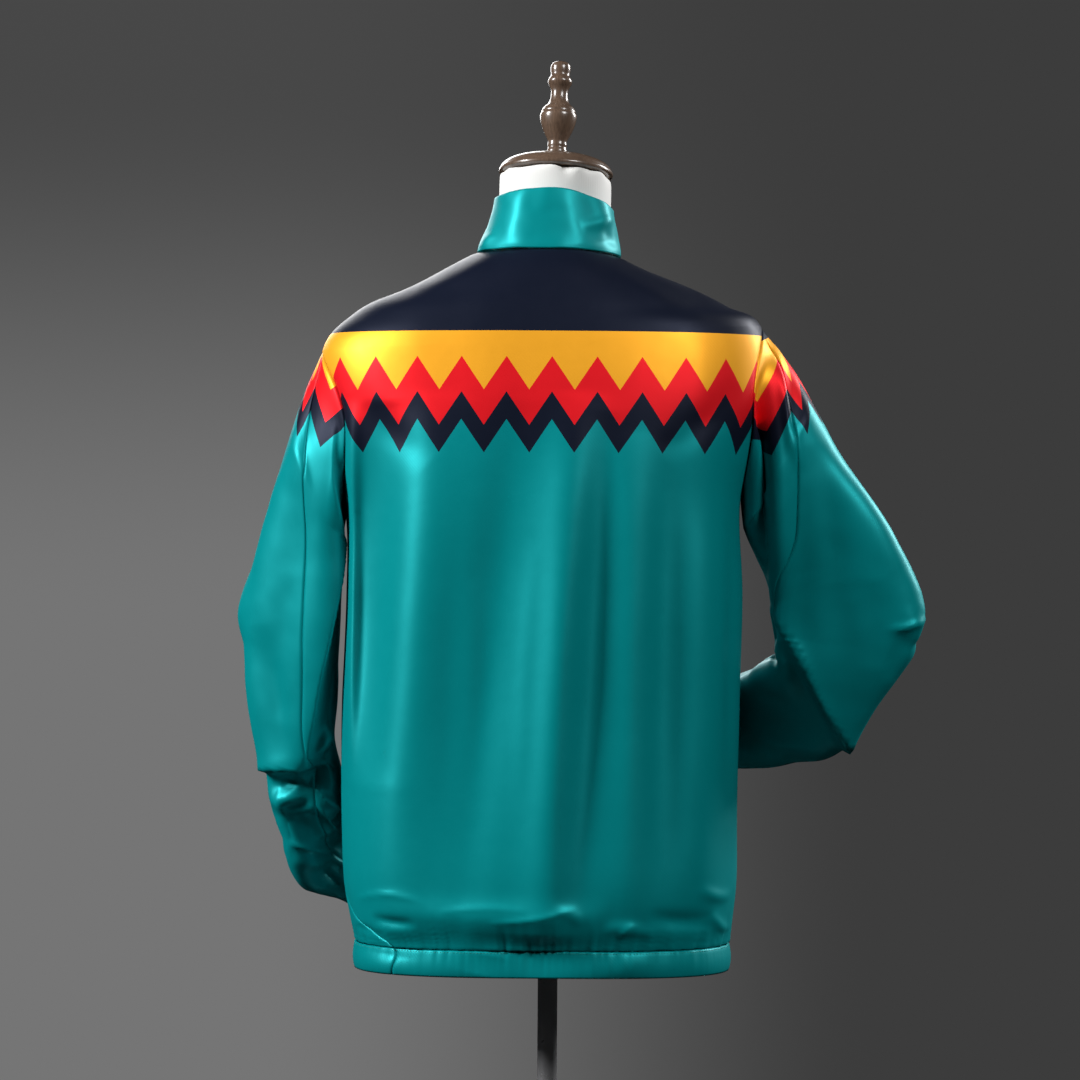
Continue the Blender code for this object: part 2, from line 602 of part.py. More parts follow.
# The finial's turning: radius and height above the cap, in millimetres.
Turning = namedtuple("Turning", "name radius height")
FINIAL_TURNINGS = [
    Turning("foot edge", 10.2, 0.0),
    Turning("foot", 11.0, 3.0),
    Turning("foot top", 10.2, 6.5),
    Turning("foot groove", 9.2, 8.2),
    Turning("stem ring", 10.6, 10.6),
    Turning("stem", 9.4, 13.4),
    Turning("urn start", 10.6, 17.0),
    Turning("urn low", 15.6, 26.0),
    Turning("urn", 18.4, 34.0),
    Turning("urn belly", 19.6, 41.0),
    Turning("belly edge", 19.2, 44.4),
    Turning("lower groove", 17.6, 45.6),
    Turning("lower ring", 18.6, 47.2),
    Turning("upper groove", 16.8, 48.8),
    Turning("upper ring", 17.0, 50.4),
    Turning("shoulder", 13.4, 53.0),
    Turning("neck", 10.6, 56.0),
    Turning("stem low", 9.2, 61.0),
    Turning("stem waist", 8.6, 67.0),
    Turning("flare", 9.4, 72.0),
    Turning("ring below", 12.2, 76.0),
    Turning("ring", 13.3, 79.3),
    Turning("ring above", 11.8, 82.6),
    Turning("knob groove", 9.2, 85.8),
    Turning("knob", 10.4, 89.0),
    Turning("knob top", 10.8, 95.0),
    Turning("crown edge", 9.4, 99.0),
    Turning("crown", 5.0, 100.4),
]


def finial(finish_of):
    profile = [(row.radius / 1000, row.height / 1000) for row in FINIAL_TURNINGS]
    profile = [(0.0, 0.0)] + profile + [(0.0, profile[-1][1] + 0.0004)]
    place = neck_plane() @ Matrix.Translation((0.0, 0.0, CAP_DOME + 2 * SEAM_GAP))
    return turned("finial", profile, FINIAL_STEPS, finish_of, place)


def stand(steel, plate):
    top = FORM_RINGS[0].z_back - SEAM_GAP
    foot = BASE_THICKNESS + SEAM_GAP
    pole = [(0.0, foot), (POLE_RADIUS, foot), (POLE_RADIUS, top), (0.0, top)]
    turned("pole", pole, POLE_STEPS, steel)
    edge = 0.0015
    profile = [(0.0, 0.0), (BASE_RADIUS - edge, 0.0), (BASE_RADIUS, edge),
               (BASE_RADIUS, BASE_THICKNESS - edge), (BASE_RADIUS - edge, BASE_THICKNESS),
               (0.0, BASE_THICKNESS)]
    turned("base_plate", profile, BASE_STEPS, plate)


def zip_frame():
    """The slider's frame, on the tape's face: x across, y out of the garment, z up along the zip."""
    top = collar_surface(len(COLLAR_RINGS) - 1.0, -90.0)[0]
    below = collar_surface(len(COLLAR_RINGS) - 2.0, -90.0)[0]
    up = (top - below).normalized()
    out = Vector((1.0, 0.0, 0.0)).cross(up).normalized()
    across = out.cross(up)
    place = Matrix((across, out, up)).transposed().to_4x4()
    return Matrix.Translation(top - up * SLIDER_DROP) @ place


def extruded(mesh, outline, width):
    """An outline of y and z made as wide as given, centred on x."""
    face = mesh.faces.new([mesh.verts.new((-width / 2, y, z)) for y, z in outline])
    made = bmesh.ops.extrude_face_region(mesh, geom=[face], use_keep_orig=True)["geom"]
    moved = [item for item in made if isinstance(item, bmesh.types.BMVert)]
    bmesh.ops.translate(mesh, vec=(width, 0.0, 0.0), verts=moved)


def bevelled(item, width):
    bevel = item.modifiers.new("rounded edges", "BEVEL")
    bevel.width = width
    bevel.segments = 2
    bevel.limit_method = "ANGLE"


def zip_slider(metal):
    """The slider's body, with the bridge that the pull's bar turns in joined onto its face."""
    face = SEAM_GAP + SLIDER_DEPTH
    body = bmesh.new()
    extruded(body, [(SEAM_GAP, -SLIDER_HEIGHT), (face, -SLIDER_HEIGHT), (face, 0.0), (SEAM_GAP, 0.0)],
             SLIDER_WIDTH)
    item = finish("zip_slider", body, metal, flat=True)
    item.matrix_world = zip_frame()
    bevelled(item, SLIDER_EDGE)
    middle, half, root = -0.5 * SLIDER_HEIGHT, 0.5 * BRIDGE_EYE, face - BRIDGE_ROOT
    inside, tip = face + BRIDGE_EYE, face + BRIDGE_EYE + BRIDGE_WALL
    high, low = middle + half, middle - half
    bridge = bmesh.new()
    extruded(bridge, [(root, low - BRIDGE_WALL), (tip, low - BRIDGE_WALL), (tip, high + BRIDGE_WALL),
                      (root, high + BRIDGE_WALL), (root, high), (inside, high), (inside, low),
                      (root, low)], BRIDGE_WIDTH)
    tool = finish("bridge_shape", bridge, metal, flat=True)
    tool.matrix_world = zip_frame()
    tool.hide_render = True
    tool.display_type = "WIRE"
    join = item.modifiers.new("bridge", "BOOLEAN")
    join.operation = "UNION"
    join.solver = "EXACT"
    join.object = tool


def zip_pull(metal):
    """The pull tab. Its bar lies in the bridge, and its origin is on the bar's middle line."""
    mesh = bmesh.new()
    half, bar = 0.5 * PULL_WIDTH, 0.5 * PULL_THICKNESS
    eye = 0.5 * PULL_EYE_WIDTH
    tip = -PULL_LENGTH
    rows = [(bar, half * 0.8), (-bar, half * 0.8), (-PULL_EYE_LENGTH, half * 0.8),
            (-0.4 * PULL_LENGTH, half), (tip + 0.003, half), (tip, half * 0.6)]
    grid = []
    for z, wide in rows:
        inner = min(eye, wide)
        grid.append([mesh.verts.new((x, bar, z)) for x in (-wide, -inner, inner, wide)])
    for j, (high, low) in enumerate(zip(grid, grid[1:])):
        for i in range(3):
            if not (i == 1 and j == 1):
                mesh.faces.new((high[i], low[i], low[i + 1], high[i + 1]))
    made = bmesh.ops.extrude_face_region(mesh, geom=mesh.faces[:], use_keep_orig=True)["geom"]
    moved = [item for item in made if isinstance(item, bmesh.types.BMVert)]
    bmesh.ops.translate(mesh, vec=(0.0, -PULL_THICKNESS, 0.0), verts=moved)
    item = finish("zip_pull", mesh, metal, flat=True)
    pivot = (0.0, SEAM_GAP + SLIDER_DEPTH + 0.5 * BRIDGE_EYE, -0.5 * SLIDER_HEIGHT)
    item.matrix_world = zip_frame() @ Matrix.Translation(pivot)
    bevelled(item, PULL_EDGE)


def build():
    clear_scene()
    teal = material("teal_satin", (0.0, 0.235, 0.215), 0.42)
    collar_cloth = material("teal_collar", (0.0, 0.22, 0.20), 0.45)
    tape = material("teal_zip_tape", (0.0, 0.12, 0.12), 0.6)
    metal = material("zip_metal", (0.05, 0.05, 0.055), 0.35, 1.0)
    padding = material("white_form_cover", (0.80, 0.80, 0.79), 0.75)
    wood = material("dark_turned_wood", (0.045, 0.028, 0.02), 0.3)
    steel = material("chromed_steel", (0.6, 0.6, 0.62), 0.12, 1.0)
    plate = material("brushed_base_steel", (0.45, 0.45, 0.46), 0.35, 1.0)

    body_panel("back", 1, BACK_COLUMNS, teal)
    body_panel("front_left", -1, FRONT_COLUMNS, teal)
    body_panel("front_right", -2, FRONT_COLUMNS, teal)
    hem_casing("hem_back", 1, BACK_COLUMNS, teal)
    hem_casing("hem_front_left", -1, FRONT_COLUMNS, teal)
    hem_casing("hem_front_right", -2, FRONT_COLUMNS, teal)
    sleeve("left", LEFT_SECTIONS, 1, teal, teal)
    sleeve("right", RIGHT_SECTIONS, -1, teal, teal)
    collar(collar_cloth)
    zip_tape(tape)
    zip_slider(metal)
    zip_pull(metal)
    form_torso(padding)
    neck_cap(wood)
    finial(wood)
    stand(steel, plate)


build()
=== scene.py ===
import math
from collections import namedtuple

import bmesh
import bpy
import numpy as np
from mathutils import Matrix, Vector, noise


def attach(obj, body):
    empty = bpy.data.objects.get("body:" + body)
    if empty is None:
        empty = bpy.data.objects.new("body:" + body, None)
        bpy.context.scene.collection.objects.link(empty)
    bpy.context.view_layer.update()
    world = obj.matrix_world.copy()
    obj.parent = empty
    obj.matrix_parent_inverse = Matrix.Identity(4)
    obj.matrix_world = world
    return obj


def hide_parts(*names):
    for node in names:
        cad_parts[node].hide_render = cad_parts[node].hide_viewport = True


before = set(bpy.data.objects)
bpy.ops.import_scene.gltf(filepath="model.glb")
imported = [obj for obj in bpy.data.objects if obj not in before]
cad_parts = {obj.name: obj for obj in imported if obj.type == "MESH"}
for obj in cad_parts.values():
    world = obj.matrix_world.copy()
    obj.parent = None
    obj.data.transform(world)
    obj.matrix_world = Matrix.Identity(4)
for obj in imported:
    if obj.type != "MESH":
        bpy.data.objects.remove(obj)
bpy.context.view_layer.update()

# ---------------------------------------------------------------------------------------------
# Printed satin. The windbreaker's cloth is a polyester satin: filament yarns that float on the
# face give it a broad soft shine. A generic print, level zigzag bands under a dark yoke, is dyed
# into it by heat transfer, so it has the cloth's own shine and no thickness.
# ---------------------------------------------------------------------------------------------
TEAL = "#009296"
NAVY = "#151B2C"
YELLOW = "#FFB22C"
RED = "#F01C26"
ZIGZAG_PITCH = 0.046       # metres from one point of a band to the next
ZIGZAG_DROP = 0.034        # how far a point hangs below the notches beside it
YOKE_EDGE = 1.402          # height of the yoke's straight lower edge
BAND_BELOW = ((0.026, RED), (0.062, NAVY), (0.090, TEAL))  # yoke's edge to each notch, and dye below
THREAD_MM = 2.51           # real floats lie 0.15 mm apart: drawn coarser so that the grain shows
SLANT_PER_SCALE = math.tau / 10.0 / math.sqrt(2.0)     # metres between slanting waves at scale 1
THREAD_RELIEF = 0.0002     # metres that a float stands up
CRINKLE_MM = 16.0          # soft unevenness left by handling
CRINKLE_RELIEF = 0.0008
SATIN_ROUGHNESS = 0.44
POLISHED, DULLED = -0.04, 0.06     # what handling takes from or adds to the roughness
SATIN_METALLIC = 0.30      # the floats' glints have the dye's colour
SATIN_SPECULAR = 0.12      # so little of the shine is white


def colour(code):
    """An sRGB hex colour as linear red, green, blue and alpha."""
    parts = [int(code[k:k + 2], 16) / 255 for k in (1, 3, 5)]
    return tuple(p / 12.92 if p <= 0.04045 else ((p + 0.055) / 1.055) ** 2.4 for p in parts) + (1.0,)


def add(material, kind, settings=None, inputs=None):
    """Adds a node with its settings, and links or sets its inputs."""
    item = material.node_tree.nodes.new(kind)
    for name, value in (settings or {}).items():
        setattr(item, name, value)
    for key, value in (inputs or {}).items():
        if isinstance(value, bpy.types.NodeSocket):
            material.node_tree.links.new(value, item.inputs[key])
        else:
            item.inputs[key].default_value = value
    return item


def new_material(name):
    """A named material and its shader, ready for nodes."""
    material = bpy.data.materials.new(name)
    material.use_nodes = True
    return material, material.node_tree.nodes["Principled BSDF"]


def satin(name, printed):
    """Polyester satin: a wide soft highlight in the dye's own colour, which runs down every fold. The
    print and the grain follow the cloth, on its map in metres."""
    material, shader = new_material(name)
    place = add(material, "ShaderNodeUVMap", {"uv_map": "cloth"}).outputs[0]
    split = add(material, "ShaderNodeSeparateXYZ", None, {0: place})
    across, up = split.outputs["X"], split.outputs["Y"]
    cloth_colour = colour(TEAL)
    if printed:
        wide = add(material, "ShaderNodeMath", {"operation": "DIVIDE"},
                   {0: across, 1: ZIGZAG_PITCH}).outputs[0]
        point = add(material, "ShaderNodeMath", {"operation": "PINGPONG"}, {0: wide, 1: 0.5}).outputs[0]
        under = add(material, "ShaderNodeMath", {"operation": "LESS_THAN"},
                    {0: up, 1: YOKE_EDGE}).outputs[0]
        cloth_colour = add(material, "ShaderNodeMix", {"data_type": "RGBA"},
                           {0: under, 6: colour(NAVY), 7: colour(YELLOW)}).outputs[2]
        for notch, dye in BAND_BELOW:
            edge = add(material, "ShaderNodeMath", {"operation": "MULTIPLY_ADD"},
                       {0: point, 1: -2.0 * ZIGZAG_DROP, 2: YOKE_EDGE - notch}).outputs[0]
            under = add(material, "ShaderNodeMath", {"operation": "LESS_THAN"},
                        {0: up, 1: edge}).outputs[0]
            cloth_colour = add(material, "ShaderNodeMix", {"data_type": "RGBA"},
                               {0: under, 6: cloth_colour, 7: colour(dye)}).outputs[2]
        material.node_tree.links.new(cloth_colour, shader.inputs["Base Color"])
    else:
        shader.inputs["Base Color"].default_value = cloth_colour
    threads = add(material, "ShaderNodeTexWave",
                  {"wave_type": "BANDS", "bands_direction": "DIAGONAL"},
                  {"Vector": place, "Scale": 1000.0 * SLANT_PER_SCALE / THREAD_MM, "Distortion": 0.6,
                   "Detail": 1.0})
    crinkle = add(material, "ShaderNodeTexNoise", None,
                  {"Vector": place, "Scale": 1000.0 / CRINKLE_MM, "Detail": 4.0, "Roughness": 0.55})
    grain = add(material, "ShaderNodeBump", None,
                {"Strength": 0.10, "Distance": THREAD_RELIEF, "Height": threads.outputs["Fac"]})
    soft = add(material, "ShaderNodeBump", None,
               {"Strength": 0.12, "Distance": CRINKLE_RELIEF, "Height": crinkle.outputs["Fac"],
                "Normal": grain.outputs[0]})
    uneven = add(material, "ShaderNodeMapRange", None,
                 {"Value": crinkle.outputs["Fac"], "To Min": SATIN_ROUGHNESS + POLISHED,
                  "To Max": SATIN_ROUGHNESS + DULLED})
    material.node_tree.links.new(uneven.outputs[0], shader.inputs["Roughness"])
    material.node_tree.links.new(soft.outputs[0], shader.inputs["Normal"])
    shader.inputs["Metallic"].default_value = SATIN_METALLIC
    shader.inputs["Specular IOR Level"].default_value = SATIN_SPECULAR
    return material


printed_satin = satin("printed polyester satin", printed=True)
plain_satin = satin("plain polyester satin", printed=False)

# ---------------------------------------------------------------------------------------------
# The body's cloth. It hangs from the shoulders and blouses over the elastic hem. The rings give
# its worn outline, and the creases are pressed into it along lines drawn over its back or front.
# ---------------------------------------------------------------------------------------------
Ring = namedtuple("Ring", "name z_left z_right z_back z_front left right back front square seam")
BODY_RINGS = [
    Ring("hem edge",      0.7480, 0.7480, 0.7493, 0.7450, 0.2010, 0.1890, 0.1480, 0.1400, 2.6, 35),
    Ring("hem stitch",    0.7755, 0.7755, 0.7765, 0.7720, 0.2000, 0.1875, 0.1465, 0.1390, 2.6, 35),
    Ring("gathers",       0.8000, 0.8000, 0.8010, 0.7980, 0.2050, 0.1905, 0.1530, 0.1450, 2.6, 21),
    Ring("blouson",       0.8420, 0.8420, 0.8430, 0.8400, 0.2120, 0.1945, 0.1550, 0.1470, 2.6, 0),
    Ring("hip",           0.9150, 0.9150, 0.9150, 0.9120, 0.2148, 0.1948, 0.1500, 0.1450, 2.6, 0),
    Ring("waist",         1.0200, 1.0200, 1.0200, 1.0150, 0.2155, 0.1975, 0.1430, 0.1420, 2.6, 0),
    Ring("ribs",          1.1300, 1.1350, 1.1350, 1.1250, 0.2120, 0.2000, 0.1390, 0.1420, 2.6, 0),
    Ring("armpit",        1.2150, 1.2350, 1.2350, 1.2200, 0.2130, 0.1975, 0.1360, 0.1400, 2.6, 0),
    Ring("blade",         1.3080, 1.3350, 1.3250, 1.3000, 0.2300, 0.2240, 0.1290, 0.1320, 2.5, 0),
    Ring("shoulder end",  1.3850, 1.4130, 1.3900, 1.3600, 0.2385, 0.2175, 0.1180, 0.1180, 2.4, 0),
    Ring("shoulder 3/4",  1.4240, 1.4330, 1.4230, 1.3860, 0.2050, 0.1830, 0.1090, 0.1090, 2.3, 0),
    Ring("shoulder 1/2",  1.4460, 1.4520, 1.4480, 1.4060, 0.1600, 0.1440, 0.0990, 0.1000, 2.2, 0),
    Ring("shoulder 1/4",  1.4680, 1.4680, 1.4700, 1.4220, 0.1170, 0.1050, 0.0880, 0.0900, 2.1, 0),
    Ring("neckline",      1.4880, 1.4835, 1.4880, 1.4340, 0.0795, 0.0720, 0.0745, 0.0790, 2.0, 0),
]
HEM, STITCH, SEAM_STRAIGHT, ARMPIT, SHOULDER, NECK = 0.0, 1.0, 5.0, 7.0, 9.0, 13.0  # rings' numbers
SEAM_HEIGHT = BODY_RINGS[1].z_back     # where the body is sewn to the casing
SEAM_FLAT = 0.020          # the creases fade out over this height above it
HOLE_ANGLE = 17.0          # half the armhole at its widest, in degrees from the side
HOLE_ROUNDNESS = 0.6       # below 1 the hole's ends are blunter
CLOTH_WALL = 0.0010
DOUBLED_WALL = 0.0022      # the casings, the collar and the cuffs are folded double
SEAM_GAP = 0.0003
ZIP_WIDTH = 0.0110
ROWS_LOW, ROWS_HOLE, ROWS_SHOULDER = 100, 60, 26       # mesh rows up the body, the armhole, the shoulder
BACK_COLUMNS, FRONT_COLUMNS = 132, 66
RING_STEP, ANGLE_STEP = 0.02, 0.5      # small steps over which the surface's slope is measured

# Creases, as lines over the back (facing 1) or the front (-1): from and to, x and height; bow is
# how far the middle bends aside. A soft one is a ridge (or trough, if its depth is negative) of
# that width. A keen one is a fold: it rises slowly on one side and drops at its line. Seen from
# behind, and going from its start to its end, its slow side is on the right.
Crease = namedtuple("Crease", "facing x z to_x to_z bow width depth keen")
BODY_CREASES = [
    Crease(1,  0.116, 1.340,  0.168, 0.750, 0.003, 0.060, 0.0105, 0),
    Crease(1,  0.144, 1.240,  0.158, 0.960, 0.002, 0.016, 0.0008, 0),
    Crease(1,  0.094, 1.200,  0.104, 0.900, 0.003, 0.022, -0.0010, 0),
    Crease(1,  0.034, 1.330,  0.088, 0.780, 0.003, 0.056, -0.0080, 0),
    Crease(1,  0.078, 1.150,  0.084, 0.950, -0.002, 0.018, 0.0010, 0),
    Crease(1, -0.028, 1.340,  0.003, 0.740, 0.001, 0.056, 0.0160, 0),
    Crease(1,  0.016, 1.190,  0.030, 0.900, 0.003, 0.018, 0.0010, 0),
    Crease(1, -0.054, 1.320, -0.022, 0.780, 0.001, 0.038, -0.0085, 0),
    Crease(1, -0.087, 1.300, -0.085, 0.800, 0.002, 0.044, 0.0062, 0),
    Crease(1, -0.123, 1.300, -0.114, 0.820, 0.003, 0.038, -0.0056, 0),
    Crease(1, -0.162, 1.310, -0.156, 0.800, 0.002, 0.046, 0.0080, 0),
    Crease(1, -0.190, 1.270, -0.186, 0.900, 0.002, 0.022, -0.0040, 0),
    Crease(1,  0.176, 0.816, -0.064, 0.812, 0.004, 0.030, 0.0052, 0),
    Crease(1,  0.196, 0.822,  0.124, 0.823, -0.009, 0.009, 0.0020, 1),
    Crease(1,  0.176, 0.806,  0.134, 0.803, 0.001, 0.010, -0.0034, 0),
    Crease(1,  0.110, 0.815,  0.020, 0.818, -0.004, 0.010, 0.0020, 1),
    Crease(1,  0.060, 0.806, -0.030, 0.822, 0.003, 0.010, 0.0024, 1),
    Crease(1,  0.196, 0.795,  0.166, 0.785, 0.000, 0.010, -0.0030, 0),
    Crease(1, -0.006, 0.820, -0.036, 0.804, -0.003, 0.012, 0.0020, 0),
    Crease(1, -0.055, 0.800, -0.110, 0.792, -0.003, 0.014, 0.0026, 0),
    Crease(1, -0.070, 0.788, -0.086, 0.806, 0.000, 0.008, 0.0018, 0),
    Crease(1, -0.150, 0.838, -0.186, 0.826, 0.002, 0.012, 0.0026, 0),
    Crease(1, -0.166, 0.812, -0.184, 0.790, 0.002, 0.010, 0.0026, 0),
    Crease(1, -0.100, 0.812, -0.166, 0.806, 0.003, 0.018, -0.0040, 0),
    Crease(1,  0.060, 1.478,  0.150, 1.440, -0.006, 0.018, 0.0016, 0),
    Crease(1, -0.055, 1.474, -0.140, 1.430, 0.006, 0.018, 0.0016, 0),
    Crease(1,  0.205, 1.340,  0.120, 1.270, 0.006, 0.030, -0.0022, 0),
    Crease(1, -0.190, 1.350, -0.110, 1.280, -0.006, 0.028, -0.0022, 0),
    Crease(-1,  0.150, 1.230,  0.170, 0.800, 0.004, 0.050, 0.0055, 0),
    Crease(-1,  0.100, 1.260,  0.108, 0.840, -0.004, 0.050, -0.0045, 0),
    Crease(-1,  0.050, 1.240,  0.056, 0.810, 0.003, 0.050, 0.0045, 0),
    Crease(-1, -0.052, 1.250, -0.064, 0.810, 0.004, 0.048, 0.0040, 0),
    Crease(-1, -0.098, 1.220, -0.110, 0.840, -0.003, 0.050, -0.0045, 0),
    Crease(-1, -0.146, 1.250, -0.152, 0.800, 0.004, 0.046, 0.0050, 0),
    Crease(-1,  0.176, 0.812,  0.070, 0.806, 0.004, 0.018, -0.0036, 0),
    Crease(-1, -0.040, 0.804, -0.160, 0.812, -0.004, 0.016, -0.0034, 0),
    Crease(-1,  0.190, 1.330,  0.100, 1.240, 0.008, 0.032, -0.0030, 0),
    Crease(-1, -0.176, 1.340, -0.090, 1.250, -0.008, 0.032, -0.0030, 0),
]

# The long fold behind the body's left edge. It is pressed straight back, not outwards, because the
# surface turns away there.
EDGE_CREASES = [
    Crease(1,  0.2050, 1.330, 0.2070, 0.930, 0.000, 0.018, 0.0190, 0),
    Crease(1,  0.1760, 1.330, 0.1780, 0.940, 0.002, 0.050, -0.0190, 0),
]

KEEN_DROP = 0.0025         # metres in which a keen crease falls away below its line
END_FADE = 0.8             # below 1 a crease keeps its depth nearer to its ends
EDGE_FADE = 0.4            # a crease fades where the surface turns sideways, from this much on
BEND_SIZE, BEND = 0.05, 0.5        # metres between the bends of crumpled cloth's lattice, and its bend
BROAD_PUCKERS, FINE_PUCKERS = (26.0, 14.0), (60.0, 20.0)   # how close they lie, round and upwards


def catmull_rom(values, t):
    """A smooth curve through evenly numbered values, read at the number t."""
    last = len(values) - 1
    i = min(int(t), last - 1)
    f = t - i
    b, c = values[i], values[i + 1]
    a = values[i - 1] if i > 0 else b * 2 - c
    d = values[i + 2] if i < last - 1 else c * 2 - b
    return b + ((c - a) + ((a * 2 - b * 5 + c * 4 - d) + (b * 3 - a - c * 3 + d) * f) * f) * (f * 0.5)


def around(rings, numbers, angles):
    """The places on the rings with these numbers, at a row of angles in degrees for each."""
    table = np.array([row[1:] for row in rings])
    rows = np.array([catmull_rom(table, s) for s in numbers])[:, None, :]
    z_left, z_right, z_back, z_front, left, right, back, front, square, seam = np.moveaxis(rows, 2, 0)
    c, n = np.cos(np.radians(angles)), np.sin(np.radians(angles))
    wide, deep = np.where(c > 0, left, right), np.where(n > 0, back, front)
    radius = ((np.abs(c) / wide) ** square + (np.abs(n) / deep) ** square) ** (-1.0 / square)
    z_side, z_end = np.where(c > 0, z_left, z_right), np.where(n > 0, z_back, z_front)
    return np.stack([radius * c, radius * n, z_end + (z_side - z_end) * c * c], axis=2)


def unit(vectors):
    """The vectors, each made one long."""
    return vectors / np.maximum(np.linalg.norm(vectors, axis=-1, keepdims=True), 1e-9)


def outwards(rings, numbers, angles):
    """The outward directions of the rings' surface."""
    numbers = np.array(numbers)
    up = around(rings, np.minimum(numbers + RING_STEP, len(rings) - 1.0), angles) \
        - around(rings, np.maximum(numbers - RING_STEP, 0.0), angles)
    along = around(rings, numbers, angles + ANGLE_STEP) - around(rings, numbers, angles - ANGLE_STEP)
    return unit(np.cross(along, up))


def smooth_step(low, high, value):
    """0 up to low and 1 from high on, with a soft rise between them."""
    t = np.clip((value - low) / (high - low), 0.0, 1.0)
    return t * t * (3.0 - 2.0 * t)


def pressed(points, normals, creases):
    """How far the creases lift each point along its outward direction."""
    lift = np.zeros(points.shape[:-1])
    for crease in creases:
        run = np.array((crease.to_x - crease.x, crease.to_z - crease.z))
        length = np.hypot(*run)
        run = run / length
        away = points[..., [0, 2]] - np.array((crease.x, crease.z))
        along = np.clip(away @ run / length, 0.0, 1.0)
        aside = away @ np.array((-run[1], run[0])) - crease.bow * 4.0 * along * (1.0 - along)
        fade = np.sin(np.pi * along) ** END_FADE
        if crease.keen:
            shape = np.where(aside > 0, np.exp(-2.0 * aside / crease.width), np.exp(aside / KEEN_DROP))
        else:
            shape = np.exp(-(2.0 * aside / crease.width) ** 2)
        seen = smooth_step(0.0, EDGE_FADE, normals[..., 1] * crease.facing)
        lift += crease.depth * fade * shape * seen
    return lift


def handled(points, size, depth, hang=1.0):
    """Soft unevenness of a size and depth, the same wherever two pieces meet. hang draws it out
    down the cloth."""
    flat = points.reshape(-1, 3) / np.array((size, size, size * hang))
    return np.array([noise.noise(Vector(p)) for p in flat]).reshape(points.shape[:-1]) * depth


def crumpled(points, size, depth):
    """The flat facets and sharp edges of cloth that is pushed together: random heights at the corners
    of a bent lattice, with flat planes between them."""
    bend = np.stack([handled(points + apart, BEND_SIZE, BEND) for apart in (0.0, 3.0, 7.0)], axis=-1)
    bend = bend.reshape(-1, 3)
    places = points.reshape(-1, 3) / np.array(size) + bend
    corners = np.floor(places)
    inside = places - corners
    order = np.argsort(-inside, axis=1)
    height = np.zeros(len(places))
    before = np.ones(len(places))
    for step in range(4):
        after = np.take_along_axis(inside, order[:, step:step + 1], axis=1)[:, 0] if step < 3 else 0.0
        height += (before - after) * np.array([noise.cell(Vector(c + 0.5)) for c in corners])
        if step < 3:
            corners[np.arange(len(corners)), order[:, step]] += 1.0
        before = after
    return height.reshape(points.shape[:-1]) * depth


def gathered(points, seam_height, reach, depth):
    """Puckers where the elastic draws the cloth in, fading away from the seam."""
    turn = np.arctan2(points[..., 1], points[..., 0]).ravel()
    height = points[..., 2].ravel()
    broad, fine = [
        np.array([noise.noise(Vector((math.cos(a) * close, math.sin(a) * close, h * tall)))
                  for a, h in zip(turn, height)]) for close, tall in (BROAD_PUCKERS, FINE_PUCKERS)]
    ripple = (broad + 0.5 * fine).reshape(points.shape[:-1])
    return depth * ripple * np.exp(-np.abs(points[..., 2] - seam_height) / reach)


def body(numbers, angles):
    """The worn body: points and outward directions for rows of ring numbers and angles."""
    angles = np.broadcast_to(angles, (len(numbers), np.shape(angles)[-1]))
    points, normals = around(BODY_RINGS, numbers, angles), outwards(BODY_RINGS, numbers, angles)
    lift = pressed(points, normals, BODY_CREASES)
    lift *= smooth_step(SEAM_HEIGHT, SEAM_HEIGHT + SEAM_FLAT, points[..., 2])
    lift += handled(points, size=0.060, depth=0.0016, hang=5.0) \
        + handled(points, size=0.030, depth=0.0003, hang=2.0)
    edge = pressed(points, normals, EDGE_CREASES)
    lift += gathered(points, SEAM_HEIGHT, reach=0.016, depth=0.0022)
    points = points + normals * lift[..., None]
    points[..., 1] += edge
    return points, normals


def at_side(side, angle):
    """An angle counted from the left side (1) or the right side (-1), backwards positive."""
    return angle if side > 0 else 180.0 - angle


def hole_angle(s):
    """Half the armhole, in degrees from the side, on the ring numbered s."""
    f = (s - ARMPIT) / (SHOULDER - ARMPIT)
    return HOLE_ANGLE * math.sin(math.pi * f) ** HOLE_ROUNDNESS if 0.0 < f < 1.0 else 0.0


def side_seam(s):
    """The left side seam, in degrees behind the side. It twists to the back at the hem."""
    return catmull_rom(np.array([row.seam for row in BODY_RINGS]), s) if s < SEAM_STRAIGHT else 0.0


def hole_numbers():
    """The rings of the armhole's points, from the shoulder end down to the armpit."""
    steps = [0.5 * (1.0 + math.cos(math.pi * k / ROWS_HOLE)) for k in range(ROWS_HOLE + 1)]
    return [ARMPIT + (SHOULDER - ARMPIT) * f for f in steps]


def panel_numbers():
    """The rings of a panel's rows, from the hem's stitch line up to the neckline."""
    low = [STITCH + (ARMPIT - STITCH) * k / ROWS_LOW for k in range(ROWS_LOW)]
    top = [SHOULDER + (NECK - SHOULDER) * (k + 1) / ROWS_SHOULDER for k in range(ROWS_SHOULDER)]
    return low + hole_numbers()[::-1] + top


def panel_angles(numbers, facing, columns):
    """The angles of a panel's columns: the back (1), the left front (-1) or the right front (-2)."""
    rows = []
    for s in numbers:
        way = 1 if facing == 1 else -1
        ring = Ring("here", *catmull_rom(np.array([row[1:] for row in BODY_RINGS]), s))
        in_hole = ARMPIT < s < SHOULDER
        left = way * hole_angle(s) if in_hole else side_seam(s)
        right = way * hole_angle(s) if in_hole else 0.0
        gap = 0.0 if in_hole else math.degrees(0.5 * SEAM_GAP / ring.left)
        zip_half = math.degrees((0.5 * ZIP_WIDTH + SEAM_GAP) / ring.front)
        start, end = {1: (left + gap, 180.0 - right - gap), -1: (-90.0 + zip_half, left - gap),
                      -2: (180.0 - right + gap, 270.0 - zip_half)}[facing]
        rows.append(np.linspace(start, end, columns + 1))
    return np.array(rows)


